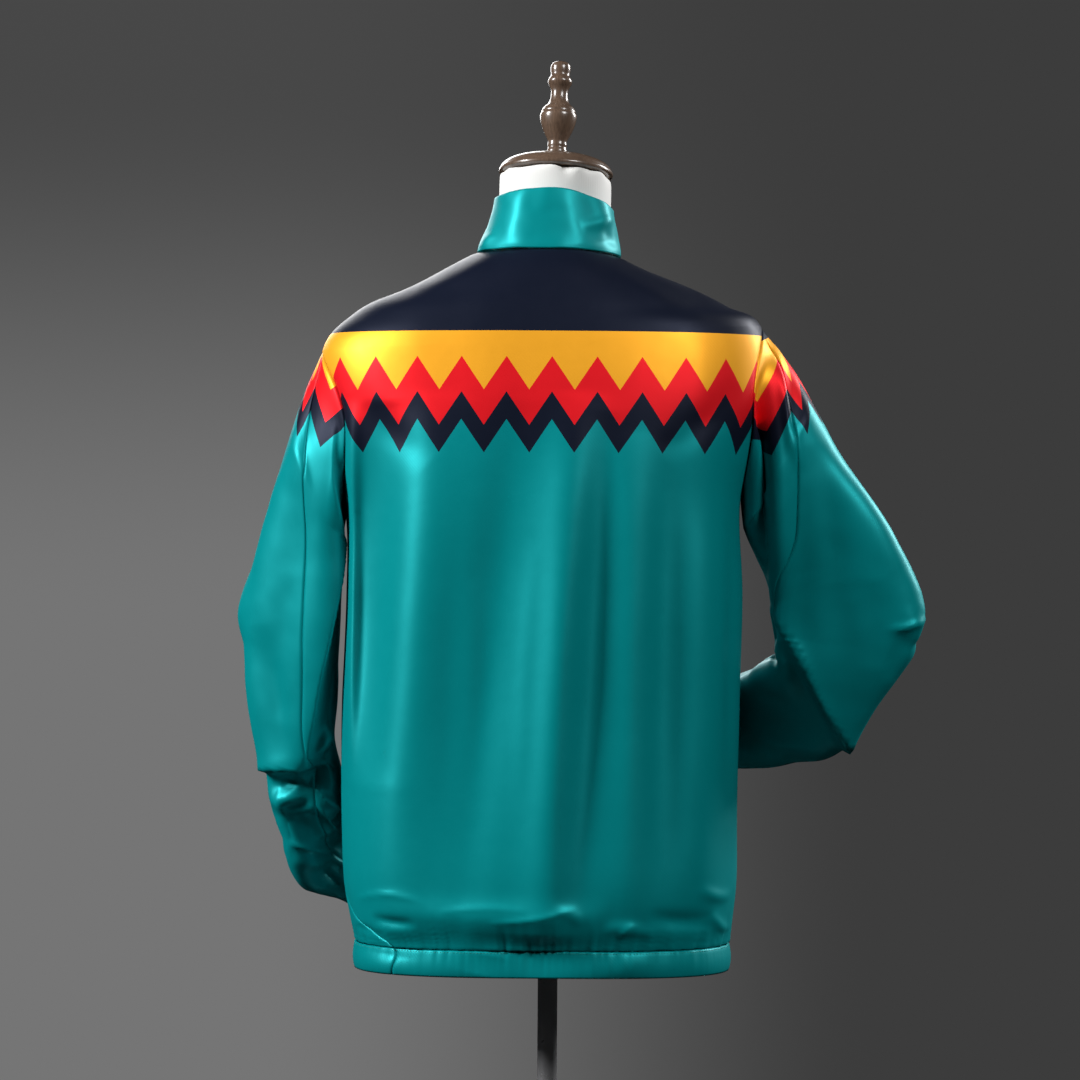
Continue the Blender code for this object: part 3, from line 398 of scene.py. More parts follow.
def seam_sunk(points, normals, sides, reach=0.0020, depth=0.0008):
    """The cloth dips where it is sewn along its first or last columns or rows."""
    across = np.linalg.norm(np.diff(points, axis=1), axis=2).cumsum(axis=1)
    across = np.concatenate([np.zeros((len(points), 1)), across], axis=1)
    along = np.linalg.norm(np.diff(points, axis=0), axis=2).cumsum(axis=0)
    along = np.concatenate([np.zeros((1, points.shape[1])), along], axis=0)
    far = {"first": across, "last": across[:, -1:] - across, "bottom": along, "top": along[-1:] - along}
    dip = sum(np.exp(-(far[side] / reach) ** 2) for side in sides)
    return points - normals * (depth * np.minimum(dip, 1.0))[..., None]


def cloth_map(points, start, tilt=0.0, tilt_from=0.0, even=False):
    """The cloth's map in metres: the way round from a starting column, and the height. A tilt raises
    what is printed by that share of the distance out from tilt_from. An even map keeps each column
    upright on a piece that tapers."""
    across = np.linalg.norm(np.diff(points, axis=1), axis=2).cumsum(axis=1)
    across = np.concatenate([np.zeros((len(points), 1)), across], axis=1)
    if even:
        across = np.broadcast_to(across.mean(axis=0), across.shape)
    across = across - across[:, start:start + 1]
    height = points[..., 2] - tilt * (np.abs(points[..., 0]) - tilt_from)
    return np.stack([across, height], axis=2)


def cloth_piece(name, points, normals, flat_map, wall, material, node_name, closed=False):
    """A sheet on a grid of points, given its wall inwards, that stands for a CAD node. A closed one
    has its first and last columns sewn together."""
    rows, columns = points.shape[0] - 1, points.shape[1] - 1
    mesh = bmesh.new()
    bmesh.ops.create_grid(mesh, x_segments=columns, y_segments=rows, size=0.5)
    layer = mesh.loops.layers.uv.new("cloth")
    spots = {vert: (round((vert.co.x + 0.5) * columns), round((vert.co.y + 0.5) * rows))
             for vert in mesh.verts}
    for face in mesh.faces:
        for loop in face.loops:
            i, j = spots[loop.vert]
            loop[layer].uv = flat_map[j, i]
    for vert, (i, j) in spots.items():
        vert.co = points[j, i]
    if closed:
        bmesh.ops.remove_doubles(mesh, verts=mesh.verts, dist=0.00001)
    mesh.normal_update()
    mesh.faces.ensure_lookup_table()
    middle = mesh.faces[len(mesh.faces) // 2]
    i, j = spots[middle.verts[0]]
    if middle.normal.dot(Vector(normals[j, i])) < 0:
        bmesh.ops.reverse_faces(mesh, faces=mesh.faces)
    data = bpy.data.meshes.new(name)
    mesh.to_mesh(data)
    mesh.free()
    data.shade_smooth()
    data.materials.append(material)
    piece = bpy.data.objects.new(name, data)
    bpy.context.scene.collection.objects.link(piece)
    solid = piece.modifiers.new("cloth wall", "SOLIDIFY")
    solid.thickness = wall
    solid.offset = -1.0
    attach(piece, "garment")
    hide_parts(node_name)
    return piece


for word, facing, columns, centre, flat, area in (
        ("back", 1, BACK_COLUMNS, BACK_COLUMNS // 2, (0.62, 0.76), 0.42),
        ("front_left", -1, FRONT_COLUMNS, 0, (0.32, 0.72), 0.20),
        ("front_right", -2, FRONT_COLUMNS, FRONT_COLUMNS, (0.32, 0.72), 0.20)):
    numbers = panel_numbers()
    points, normals = body(numbers, panel_angles(numbers, facing, columns))
    points = seam_sunk(points, normals, ("first", "last", "bottom", "top"))
    piece = cloth_piece(word + "_cloth", points, normals, cloth_map(points, centre), CLOTH_WALL,
                        printed_satin, word)

# ---------------------------------------------------------------------------------------------
# The hem casing. The same satin folded double round a wide elastic and sewn down, so it puckers
# between its two edges. The left side seam twists to the back and runs on through it.
# ---------------------------------------------------------------------------------------------
CASING_ROWS = 14
CASING_PUCKER_AT = 0.776   # height of its stitch line, where it puckers most
CASING_SWELL, FOLD_DRAWN = 0.0016, 0.0010      # it swells between its edges, and its fold is drawn in
CASING_CREASES = [
    Crease(1,  0.166, 0.744,  0.164, 0.768, 0.000, 0.042, 0.0024, 0),
    Crease(1,  0.066, 0.752,  0.062, 0.772, 0.000, 0.040, -0.0016, 0),
    Crease(1,  0.004, 0.746,  0.002, 0.782, 0.000, 0.076, -0.0042, 0),
    Crease(1, -0.082, 0.748, -0.080, 0.780, 0.000, 0.044, 0.0026, 0),
    Crease(-1, 0.100, 0.750,  0.104, 0.772, 0.000, 0.060, 0.0030, 0),
    Crease(-1, -0.070, 0.750, -0.066, 0.772, 0.000, 0.060, -0.0030, 0),
]


def casing_surface(numbers, angles):
    """The casing: puckered by its elastic, and drawn in at the stitch line and at the fold."""
    points, normals = around(BODY_RINGS, numbers, angles), outwards(BODY_RINGS, numbers, angles)
    part_up = np.linspace(0.0, 1.0, len(numbers))[:, None]
    lift = gathered(points, CASING_PUCKER_AT, reach=0.014, depth=0.0010)
    lift += handled(points, size=0.07, depth=0.0016)
    lift += pressed(points, normals, CASING_CREASES)
    lift += CASING_SWELL * np.sin(np.pi * part_up) - FOLD_DRAWN * (1.0 - part_up) ** 6
    return points + normals * lift[..., None], normals


for word, facing, columns, centre, flat in (
        ("hem_back", 1, 2 * BACK_COLUMNS, BACK_COLUMNS, (0.46, 0.03)),
        ("hem_front_left", -1, 2 * FRONT_COLUMNS, 0, (0.33, 0.03)),
        ("hem_front_right", -2, 2 * FRONT_COLUMNS, 2 * FRONT_COLUMNS, (0.26, 0.03))):
    numbers = [HEM + (STITCH - HEM) * k / CASING_ROWS for k in range(CASING_ROWS + 1)]
    points, normals = casing_surface(numbers, panel_angles(numbers, facing, columns))
    points = seam_sunk(points, normals, ("first", "last", "top"))
    points[-1, :, 2] -= SEAM_GAP
    piece = cloth_piece(word + "_cloth", points, normals, cloth_map(points, centre), DOUBLED_WALL,
                        plain_satin, word)

# ---------------------------------------------------------------------------------------------
# The collar. A stand of satin folded double, sewn to the neckline. It leans in to the neck and
# stands by its own stiffness, a little crushed at the wearer's right.
# ---------------------------------------------------------------------------------------------
COLLAR_RINGS = [
    Ring("base",   1.4895, 1.4850, 1.4895, 1.4355, 0.0796, 0.0722, 0.0744, 0.0790, 2.0, 0),
    Ring("flare",  1.5010, 1.4960, 1.5030, 1.4480, 0.0755, 0.0702, 0.0700, 0.0780, 2.0, 0),
    Ring("middle", 1.5170, 1.5110, 1.5220, 1.4660, 0.0680, 0.0672, 0.0655, 0.0765, 2.0, 0),
    Ring("upper",  1.5320, 1.5220, 1.5380, 1.4830, 0.0632, 0.0648, 0.0620, 0.0750, 2.0, 0),
    Ring("top",    1.5450, 1.5320, 1.5520, 1.4960, 0.0605, 0.0635, 0.0590, 0.0740, 2.0, 0),
]
COLLAR_COLUMNS, COLLAR_ROWS = 220, 36          # mesh columns round it and rows up it
COLLAR_CREASES = [
    Crease(1,  0.030, 1.556,  0.040, 1.488, 0.003, 0.026, 0.0040, 0),
    Crease(1, -0.014, 1.552, -0.030, 1.492, 0.002, 0.020, 0.0016, 0),
    Crease(1, -0.044, 1.552, -0.054, 1.498, -0.003, 0.016, 0.0040, 0),
    Crease(1, -0.028, 1.512, -0.062, 1.524, 0.002, 0.012, 0.0020, 0),
    Crease(1, -0.050, 1.512, -0.068, 1.494, 0.001, 0.012, -0.0022, 0),
    Crease(1,  0.062, 1.506,  0.074, 1.490, 0.001, 0.010, 0.0022, 0),
    Crease(-1, 0.050, 1.520,  0.030, 1.450, 0.003, 0.022, 0.0016, 0),
    Crease(-1, -0.056, 1.510, -0.040, 1.450, 0.003, 0.022, -0.0016, 0),
]
numbers = [(len(COLLAR_RINGS) - 1.0) * k / COLLAR_ROWS for k in range(COLLAR_ROWS + 1)]
zip_half = math.degrees((0.5 * ZIP_WIDTH + SEAM_GAP) / COLLAR_RINGS[2].front)
angles = np.tile(np.linspace(-90.0 + zip_half, 270.0 - zip_half, COLLAR_COLUMNS + 1), (len(numbers), 1))
points, normals = around(COLLAR_RINGS, numbers, angles), outwards(COLLAR_RINGS, numbers, angles)
lift = pressed(points, normals, COLLAR_CREASES) + handled(points, size=0.04, depth=0.0010) \
    + handled(points, size=0.016, depth=0.0005)
points = points + normals * lift[..., None]
points = seam_sunk(points, normals, ("bottom",), reach=0.003)
collar = cloth_piece("collar_cloth", points, normals, cloth_map(points, COLLAR_COLUMNS // 2),
                     DOUBLED_WALL, plain_satin, "collar")

# ---------------------------------------------------------------------------------------------
# The sleeves. Each is cut in two pieces, set into the armhole, and hangs from it with no arm
# inside, so it folds sharply where the forearm turns in behind the front of the garment.
# ---------------------------------------------------------------------------------------------
# Each section has its outermost and innermost place, half its depth, and where its back seam lies, in
# degrees from the outermost place.
Section = namedtuple("Section", "name outer inner deep seam")
LEFT_SECTIONS = [
    Section("cap",       (0.2690, -0.012, 1.3020), (0.2175, -0.012, 1.1870), 0.061, 70),
    Section("biceps",    (0.2850, -0.026, 1.2500), (0.2170, -0.008, 1.1500), 0.056, 94),
    Section("upper arm", (0.3110, -0.040, 1.1660), (0.2180, -0.001, 1.0980), 0.048, 108),
    Section("elbow",     (0.3272, -0.048, 1.1150), (0.2195,  0.002, 1.0650), 0.043, 114),
    Section("below elbow", (0.3195, -0.048, 1.0720), (0.2200, 0.000, 1.0260), 0.042, 112),
    Section("forearm",   (0.3085, -0.046, 1.0090), (0.2240, -0.007, 0.9850), 0.041, 110),
    Section("low forearm", (0.2985, -0.042, 0.9560), (0.2180, -0.031, 0.9520), 0.042, 107),
    Section("fold",      (0.2940, -0.040, 0.9170), (0.2140, -0.062, 0.9250), 0.043, 104),
    Section("bend",      (0.2830, -0.058, 0.8800), (0.2110, -0.090, 0.9130), 0.042, 100),
    Section("wrist",     (0.2640, -0.092, 0.8350), (0.2030, -0.126, 0.8940), 0.039, 100),
    Section("cuff seam", (0.2240, -0.136, 0.8050), (0.1860, -0.160, 0.8740), 0.036, 100),
    Section("cuff edge", (0.1980, -0.160, 0.7920), (0.1620, -0.182, 0.8620), 0.034, 100),
]
RIGHT_SECTIONS = [
    Section("cap",       (-0.2720, 0.000, 1.3330), (-0.2010, -0.004, 1.2040), 0.061, 66),
    Section("biceps",    (-0.2980, 0.004, 1.2820), (-0.2060, -0.006, 1.1900), 0.056, 88),
    Section("upper arm", (-0.3270, 0.008, 1.2390), (-0.2140, -0.008, 1.1720), 0.051, 109),
    Section("low arm",   (-0.3580, 0.008, 1.1940), (-0.2240, -0.010, 1.1510), 0.048, 134),
    Section("elbow",     (-0.3860, 0.004, 1.1340), (-0.2310, -0.010, 1.1240), 0.046, 146),
    Section("elbow tip", (-0.3830, -0.002, 1.0860), (-0.2360, -0.012, 1.1000), 0.045, 148),
    Section("turn",      (-0.3500, -0.018, 1.0310), (-0.2400, -0.014, 1.0880), 0.044, 150),
    Section("forearm",   (-0.3080, -0.054, 0.9745), (-0.2450, -0.028, 1.0790), 0.042, 150),
    Section("mid forearm", (-0.2640, -0.102, 0.9570), (-0.2300, -0.068, 1.0640), 0.040, 145),
    Section("wrist",     (-0.2130, -0.150, 0.9470), (-0.2010, -0.118, 1.0480), 0.038, 138),
    Section("cuff seam", (-0.1580, -0.186, 0.9470), (-0.1520, -0.164, 1.0330), 0.036, 128),
    Section("cuff edge", (-0.1320, -0.198, 0.9500), (-0.1270, -0.182, 1.0250), 0.034, 120),
]
SLEEVE_OUT, SLEEVE_DOWN = 0.75, 0.66       # the sleeve's way as it leaves the armhole
SLEEVE_SQUARE = 3.2        # 2 is an ellipse, more is flatter: the sleeve is empty and lies flat
CAP_BULGE = 0.007          # the ease that stands up round the sleeve's head
HOLE_LEAN = 1.4            # how far the cloth leans outwards from the body at the armhole
SEAM_STEP = 6              # the armhole's point, from the shoulder end, where the back seam starts
CAP_ROWS, ROWS_PER_SECTION = 16, 14
SECTION_STEP = 0.05        # small step over which a sleeve's direction is measured
FREE_ROWS = 5.0            # rows from the armhole seam over which the creases start
FACET = (0.036, 0.034, 0.032)      # size of the flat facets where slack cloth is pushed together
CRUMPLE = 0.011
CUFF_GATHER, GATHER_ROWS = 0.0018, 6.0     # depth of the gathers at the cuff, and how far they reach
GATHERS, GATHER_WANDER, GATHER_SWAY = 40.0, 2.0, 9.0       # how close they lie, and how unevenly
LEFT_SLACK = (0.925, 0.900)        # the left sleeve is slack below these heights
RIGHT_SLACK = (0.350, 0.378)       # and the right one out here, at the elbow ...
RIGHT_SLACK_TOP, RIGHT_SLACK_FOOT = (1.135, 1.110), (1.070, 1.095)     # ... and between these heights
RIGHT_SLACK_SHARE = 0.7
SLACK_ROWS = (-4.0, 18.0)          # the slack fades over these rows before the cuff's seam
PRINT_TILT_FROM = 0.225    # from here outwards the print on the sleeves rises, square to their run
CUFF_CLEARANCE = 0.1       # share of a mesh row between the sleeve's end and the cuff
LEFT_CREASES = [
    Crease(1,  0.276, 1.300,  0.308, 1.060, 0.006, 0.040, 0.0030, 0),
    Crease(1,  0.262, 1.150,  0.276, 1.000, 0.004, 0.030, -0.0030, 0),
    Crease(1,  0.222, 1.310,  0.254, 0.930, -0.011, 0.060, 0.0170, 1),
    Crease(1,  0.232, 1.048,  0.322, 1.062, 0.000, 0.200, 0.0080, 0),
    Crease(1,  0.300, 1.100,  0.272, 0.962, -0.004, 0.024, -0.0052, 0),
    Crease(1,  0.314, 1.080,  0.300, 0.960, -0.002, 0.016, 0.0030, 0),
    Crease(1,  0.216, 1.080,  0.240, 0.962, -0.004, 0.020, -0.0060, 0),
    Crease(1,  0.220, 0.953,  0.318, 0.945, 0.001, 0.050, 0.0140, 1),
    Crease(1,  0.206, 0.972,  0.256, 0.938, 0.001, 0.022, -0.0160, 0),
    Crease(1,  0.226, 0.930,  0.318, 0.930, 0.001, 0.030, -0.0120, 0),
    Crease(1,  0.216, 0.996,  0.240, 0.966, 0.002, 0.012, 0.0060, 0),
    Crease(1,  0.280, 0.918,  0.250, 0.934, 0.000, 0.012, 0.0030, 1),
    Crease(1,  0.250, 0.932,  0.214, 0.902, -0.002, 0.012, 0.0090, 1),
    Crease(1,  0.296, 0.936,  0.262, 0.938, 0.001, 0.016, -0.0060, 0),
    Crease(1,  0.284, 0.906,  0.240, 0.918, 0.003, 0.012, -0.0060, 0),
    Crease(1,  0.238, 0.910,  0.212, 0.870, 0.001, 0.008, 0.0080, 1),
    Crease(1,  0.290, 0.896,  0.226, 0.884, 0.004, 0.026, -0.0070, 0),
    Crease(1,  0.214, 0.854,  0.274, 0.868, 0.002, 0.010, 0.0090, 1),
    Crease(1,  0.268, 0.856,  0.214, 0.846, 0.002, 0.014, 0.0060, 0),
    Crease(1,  0.234, 0.848,  0.208, 0.816, 0.001, 0.012, -0.0070, 0),
    Crease(-1, 0.270, 1.240,  0.296, 1.000, 0.006, 0.032, 0.0045, 0),
    Crease(-1, 0.244, 1.220,  0.250, 0.980, 0.004, 0.028, -0.0045, 0),
    Crease(-1, 0.226, 0.940,  0.292, 0.950, -0.004, 0.016, 0.0070, 1),
    Crease(-1, 0.214, 0.920,  0.280, 0.900, -0.004, 0.016, 0.0070, 1),
    Crease(-1, 0.210, 0.900,  0.262, 0.862, 0.003, 0.014, -0.0060, 0),
]
RIGHT_CREASES = [
    Crease(1, -0.213, 1.402, -0.216, 1.130, 0.000, 0.017, -0.0190, 0),
    Crease(1, -0.230, 1.400, -0.256, 1.262, 0.004, 0.014, 0.0060, 0),
    Crease(1, -0.233, 1.340, -0.247, 1.000, 0.002, 0.026, 0.0090, 0),
    Crease(1, -0.270, 1.290, -0.300, 1.150, -0.004, 0.034, -0.0040, 0),
    Crease(1, -0.302, 1.290, -0.362, 1.160, -0.002, 0.026, 0.0030, 0),
    Crease(1, -0.268, 1.160, -0.292, 1.040, 0.004, 0.034, 0.0030, 0),
    Crease(1, -0.330, 1.150, -0.336, 1.060, -0.004, 0.030, -0.0030, 0),
    Crease(1, -0.341, 0.924, -0.233, 1.126, -0.004, 0.036, 0.0170, 1),
    Crease(1, -0.310, 0.985, -0.180, 0.978, 0.000, 0.060, -0.0080, 0),
    Crease(1, -0.268, 1.056, -0.176, 1.036, 0.000, 0.044, 0.0090, 0),
    Crease(1, -0.350, 1.100, -0.388, 1.112, 0.002, 0.010, 0.0070, 1),
    Crease(1, -0.376, 1.108, -0.352, 1.046, 0.002, 0.012, -0.0040, 0),
    Crease(1, -0.196, 1.060, -0.262, 1.010, 0.004, 0.026, -0.0045, 0),
    Crease(1, -0.196, 1.000, -0.262, 0.965, 0.004, 0.018, 0.0045, 0),
    Crease(-1, -0.250, 1.280, -0.320, 1.140, 0.006, 0.040, 0.0045, 0),
    Crease(-1, -0.300, 1.000, -0.240, 1.120, -0.006, 0.026, 0.0080, 1),
    Crease(-1, -0.300, 1.090, -0.360, 1.110, -0.004, 0.018, 0.0060, 1),
    Crease(-1, -0.276, 1.200, -0.240, 1.060, 0.004, 0.024, -0.0050, 0),
]


def armhole(side):
    """The armhole from the shoulder end down the back to the armpit and up the front: its points, and
    the outward direction of the cloth there."""
    numbers = hole_numbers()
    stops = [(s, hole_angle(s)) for s in numbers] + [(s, -hole_angle(s)) for s in numbers[-2:0:-1]]
    spots = [body([s], np.array([[at_side(side, a)]])) for s, a in stops]
    points = np.array([p[0, 0] for p, n in spots])
    normals = np.array([n[0, 0] for p, n in spots])
    away = np.array((side * SLEEVE_OUT, 0.0, -SLEEVE_DOWN))
    spoke = points - points.mean(axis=0)
    spoke = unit(spoke - away * (spoke @ away)[:, None])
    lean = unit(normals + spoke * HOLE_LEAN)
    return points, lean


def section_row(sections, t, turns):
    """The places round the sleeve at the section numbered t."""
    def read(key, at):
        return catmull_rom(np.array([getattr(row, key) for row in sections], float), at)
    low, high = max(0.0, t - SECTION_STEP), min(len(sections) - 1.0, t + SECTION_STEP)
    outer, inner = read("outer", t), read("inner", t)
    path = unit(read("outer", high) + read("inner", high) - read("outer", low) - read("inner", low))
    back = unit(np.array((0.0, 1.0, 0.0)) - path * path[1]) * read("deep", t)
    seam = read("seam", t)
    angle = np.radians(np.where(turns > 0, seam + (180.0 - seam) * turns, seam + (180.0 + seam) * turns))
    c, n = np.cos(angle)[:, None], np.sin(angle)[:, None]
    reach = (np.abs(c) ** SLEEVE_SQUARE + np.abs(n) ** SLEEVE_SQUARE) ** (-1.0 / SLEEVE_SQUARE)
    return (outer + inner) * 0.5 + (outer - inner) * 0.5 * c * reach + back * n * reach


def tube_normals(rows, side):
    """Outward directions of a tube whose first and last columns meet."""
    ring = rows[:, :-1]
    round_it = np.roll(ring, -1, axis=1) - np.roll(ring, 1, axis=1)
    along = np.gradient(ring, axis=0)
    normals = unit(np.cross(round_it, along) * -side)
    return np.concatenate([normals, normals[:, :1]], axis=1)


def slack_share(points, side):
    """How slack each place on a sleeve is: the left forearm above its cuff, and the right elbow."""
    out, height = points[..., 0] * side, points[..., 2]
    if side > 0:
        return smooth_step(*LEFT_SLACK, height)
    return smooth_step(*RIGHT_SLACK, out) * smooth_step(*RIGHT_SLACK_TOP, height) \
        * smooth_step(*RIGHT_SLACK_FOOT, height) * RIGHT_SLACK_SHARE


def sleeve_surface(sections, side, creases):
    """The sleeve as rows from the armhole to the cuff's edge, each from the underarm seam round the
    front, the outer edge and the back seam to the underarm seam again."""
    hole, lean = armhole(side)
    count = len(hole)
    order = [(ROWS_HOLE + k) % count for k in range(count + 1)]
    seam_column = order.index(SEAM_STEP)
    steps = np.arange(count + 1)
    turns = np.where(steps < seam_column, steps / seam_column - 1.0,
                     (steps - seam_column) / (count - seam_column))
    numbers = [k / ROWS_PER_SECTION for k in range((len(sections) - 1) * ROWS_PER_SECTION + 1)]
    tube = np.array([section_row(sections, t, turns) for t in numbers])
    start, lean = hole[order], lean[order]
    cap = []
    for j in range(CAP_ROWS):
        f = j / CAP_ROWS
        bulge = CAP_BULGE * math.sin(math.pi * f) * np.maximum(0.0, lean[:, 2:])
        cap.append(start + (tube[0] - start) * f + lean * bulge)
    rows = np.concatenate([np.array(cap), tube])
    normals = tube_normals(rows, side)
    lift = pressed(rows, normals, creases) + handled(rows, size=0.05, depth=0.0018, hang=3.0) \
        + handled(rows, size=0.024, depth=0.0005)
    row_numbers = np.arange(len(rows))[:, None]
    cuff_row = len(rows) - 1 - ROWS_PER_SECTION
    slack = slack_share(rows, side) * smooth_step(*SLACK_ROWS, cuff_row - row_numbers)
    lift += crumpled(rows, FACET, CRUMPLE) * slack
    gathers = np.sin(turns * GATHERS + GATHER_WANDER * np.sin(turns * GATHER_SWAY))[None, :]
    lift = lift + CUFF_GATHER * np.exp(-np.abs(row_numbers - cuff_row) / GATHER_ROWS) * gathers
    lift = lift * smooth_step(0.0, FREE_ROWS, row_numbers)
    lift[:, -1] = lift[:, 0]
    return rows + normals * lift[..., None], normals, seam_column, cuff_row


Sleeve = namedtuple("Sleeve", "word sections side creases tilt outer_flat outer_area back_flat back_area")
for sleeve in (
        Sleeve("left", LEFT_SECTIONS, 1, LEFT_CREASES, 0.45, (0.30, 0.62), 0.142, (0.10, 0.56), 0.039),
        Sleeve("right", RIGHT_SECTIONS, -1, RIGHT_CREASES, 0.60, (0.36, 0.62), 0.172, (0.07, 0.55), 0.027)):
    rows, normals, seam_column, cuff_row = sleeve_surface(sleeve.sections, sleeve.side, sleeve.creases)
    last = rows.shape[1] - 1
    for part, first, end, flat, area in (
            ("outer", 0, seam_column, sleeve.outer_flat, sleeve.outer_area),
            ("back", seam_column, last, sleeve.back_flat, sleeve.back_area)):
        points, facing = rows[:cuff_row + 1, first:end + 1], normals[:cuff_row + 1, first:end + 1]
        points = seam_sunk(points, facing, ("first", "last", "bottom", "top"))
        start = end - first if part == "outer" else 0
        flat_map = cloth_map(points, start, sleeve.tilt, PRINT_TILT_FROM, even=True)
        node_name = f"sleeve_{sleeve.word}_{part}"
        piece = cloth_piece(node_name + "_cloth", points, facing, flat_map, CLOTH_WALL, printed_satin,
                            node_name)
    points, facing = rows[cuff_row:].copy(), normals[cuff_row:]
    points[0] += (points[1] - points[0]) * CUFF_CLEARANCE
    cuff = cloth_piece(f"cuff_{sleeve.word}_cloth", points, facing, cloth_map(points, 0), DOUBLED_WALL,
                       plain_satin, f"cuff_{sleeve.word}", closed=True)

# ---------------------------------------------------------------------------------------------
# The zip. A woven polyester tape with a moulded coil down its middle, a die-cast slider at the
# collar's top, and its pull tab, which hangs on the slider's bridge.
# ---------------------------------------------------------------------------------------------
TAPE_RIB_MM = 2.17         # real ribs lie 0.5 mm apart: drawn coarser so that they show
WAVE_PER_SCALE = math.tau / 20.0       # metres between straight waves or rings at scale 1
TAPE_RIB_RELIEF = 0.0003
TAPE_COLUMNS = 8
TOOTH_PITCH = 0.0017
TOOTH_SIZE = (0.0026, 0.0011, 0.0010)
TOOTH_ASIDE, TOOTH_PROUD = 0.0008, 0.0002      # off the tape's middle by turns, and off its face
COIL_START, COIL_BARE = 0.004, 0.012           # bare tape below the first tooth, and at both ends
TOOTH_ROUND = 0.0003
WEAR_MM = 1.11             # worn patches

# Woven tape: matt and a little darker than the satin, with fine upright ribs.
zip_weave, shader = new_material("woven polyester zip tape")
place = add(zip_weave, "ShaderNodeTexCoord").outputs["Object"]
ribs = add(zip_weave, "ShaderNodeTexWave", {"wave_type": "BANDS", "bands_direction": "X"},
           {"Vector": place, "Scale": 1000.0 * WAVE_PER_SCALE / TAPE_RIB_MM})
ribbed = add(zip_weave, "ShaderNodeBump", None,
             {"Strength": 0.4, "Distance": TAPE_RIB_RELIEF, "Height": ribs.outputs["Fac"]})
zip_weave.node_tree.links.new(ribbed.outputs[0], shader.inputs["Normal"])
shader.inputs["Base Color"].default_value = colour("#00615F")
shader.inputs["Roughness"].default_value = 0.62
shader.inputs["Sheen Weight"].default_value = 0.2

# Moulded nylon: smooth, so each tooth has one small glint.
coil_nylon, shader = new_material("moulded nylon coil")
shader.inputs["Base Color"].default_value = colour("#0A6B68")
shader.inputs["Roughness"].default_value = 0.34

# Zinc plated to a dark gunmetal: a dark mirror, rubbed duller in patches.
plated_zinc, shader = new_material("gunmetal plated zinc")
place = add(plated_zinc, "ShaderNodeTexCoord").outputs["Object"]
worn = add(plated_zinc, "ShaderNodeTexNoise", None,
           {"Vector": place, "Scale": 1000.0 / WEAR_MM, "Detail": 3.0})
rough = add(plated_zinc, "ShaderNodeMapRange", None,
            {"Value": worn.outputs["Fac"], "To Min": 0.24, "To Max": 0.42})
plated_zinc.node_tree.links.new(rough.outputs[0], shader.inputs["Roughness"])
shader.inputs["Base Color"].default_value = colour("#4A4B50")
shader.inputs["Metallic"].default_value = 1.0


def front_line(rings, numbers):
    """The middle of the front on these rings: its points and outward directions."""
    front = np.full((len(numbers), 1), -90.0)
    return around(rings, numbers, front)[:, 0], outwards(rings, numbers, front)[:, 0]


low, low_out = front_line(BODY_RINGS, [HEM, 0.5 * STITCH] + panel_numbers())
high, high_out = front_line(
    COLLAR_RINGS, [(len(COLLAR_RINGS) - 1.0) * k / COLLAR_ROWS for k in range(COLLAR_ROWS + 1)])
line, line_out = np.concatenate([low, high]), np.concatenate([low_out, high_out])
spread = np.linspace(-0.5, 0.5, TAPE_COLUMNS + 1) * ZIP_WIDTH
points = line[:, None, :] + spread[None, :, None] * np.array((1.0, 0.0, 0.0))
normals = np.repeat(line_out[:, None, :], len(spread), axis=1)
tape = cloth_piece("zip_tape_weave", points, normals, cloth_map(points, TAPE_COLUMNS // 2), CLOTH_WALL,
                   zip_weave, "zip_tape")


def on_line(at, reach, line, line_out):
    """The place and the outward direction at this many metres along a line."""
    spot = Vector([np.interp(at, reach, line[:, axis]) for axis in range(3)])
    out = Vector([np.interp(at, reach, line_out[:, axis]) for axis in range(3)]).normalized()
    return spot, out


reach = np.concatenate([[0.0], np.linalg.norm(np.diff(line, axis=0), axis=1).cumsum()])
teeth = bmesh.new()
side = Vector((1.0, 0.0, 0.0))
size = Matrix.Diagonal((*TOOTH_SIZE, 1.0))
for k in range(int((reach[-1] - COIL_BARE) / TOOTH_PITCH)):
    spot, out = on_line(COIL_START + k * TOOTH_PITCH, reach, line, line_out)
    turn = Matrix((side, out, side.cross(out))).transposed().to_4x4()
    spot += out * TOOTH_PROUD + side * (TOOTH_ASIDE if k % 2 else -TOOTH_ASIDE)
    bmesh.ops.create_cube(teeth, size=1.0, matrix=Matrix.Translation(spot) @ turn @ size)
data = bpy.data.meshes.new("zip_coil")
teeth.to_mesh(data)
teeth.free()
data.materials.append(coil_nylon)
coil = bpy.data.objects.new("zip_coil", data)
bpy.context.scene.collection.objects.link(coil)
round_edges = coil.modifiers.new("round edges", "BEVEL")
round_edges.width, round_edges.segments = TOOTH_ROUND, 1
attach(coil, "garment")

for node_name in ("zip_slider", "zip_pull"):
    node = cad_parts[node_name]
    node.data.materials.clear()
    node.data.materials.append(plated_zinc)

# ---------------------------------------------------------------------------------------------
# The stitching. Polyester thread, one row of lockstitch that holds down the hem casing's fold, just
# below its seam to the body.
# ---------------------------------------------------------------------------------------------
STITCH_LENGTH, STITCH_PITCH, THREAD = 0.0026, 0.0034, 0.00045
STITCH_PROUD = 0.0012
STITCH_RING = STITCH - 0.09        # the row lies just below the seam between the casing and the body
STITCH_FROM, STITCH_TO, STITCH_STEPS = -86.0, 266.0, 1600      # degrees round from one side of the zip
TWIST_MM = 1.57            # real plies lie 0.3 mm apart: drawn coarser so that they show
TWIST_PER_SCALE = math.tau / 10.0      # metres along the row between slanting waves at scale 1

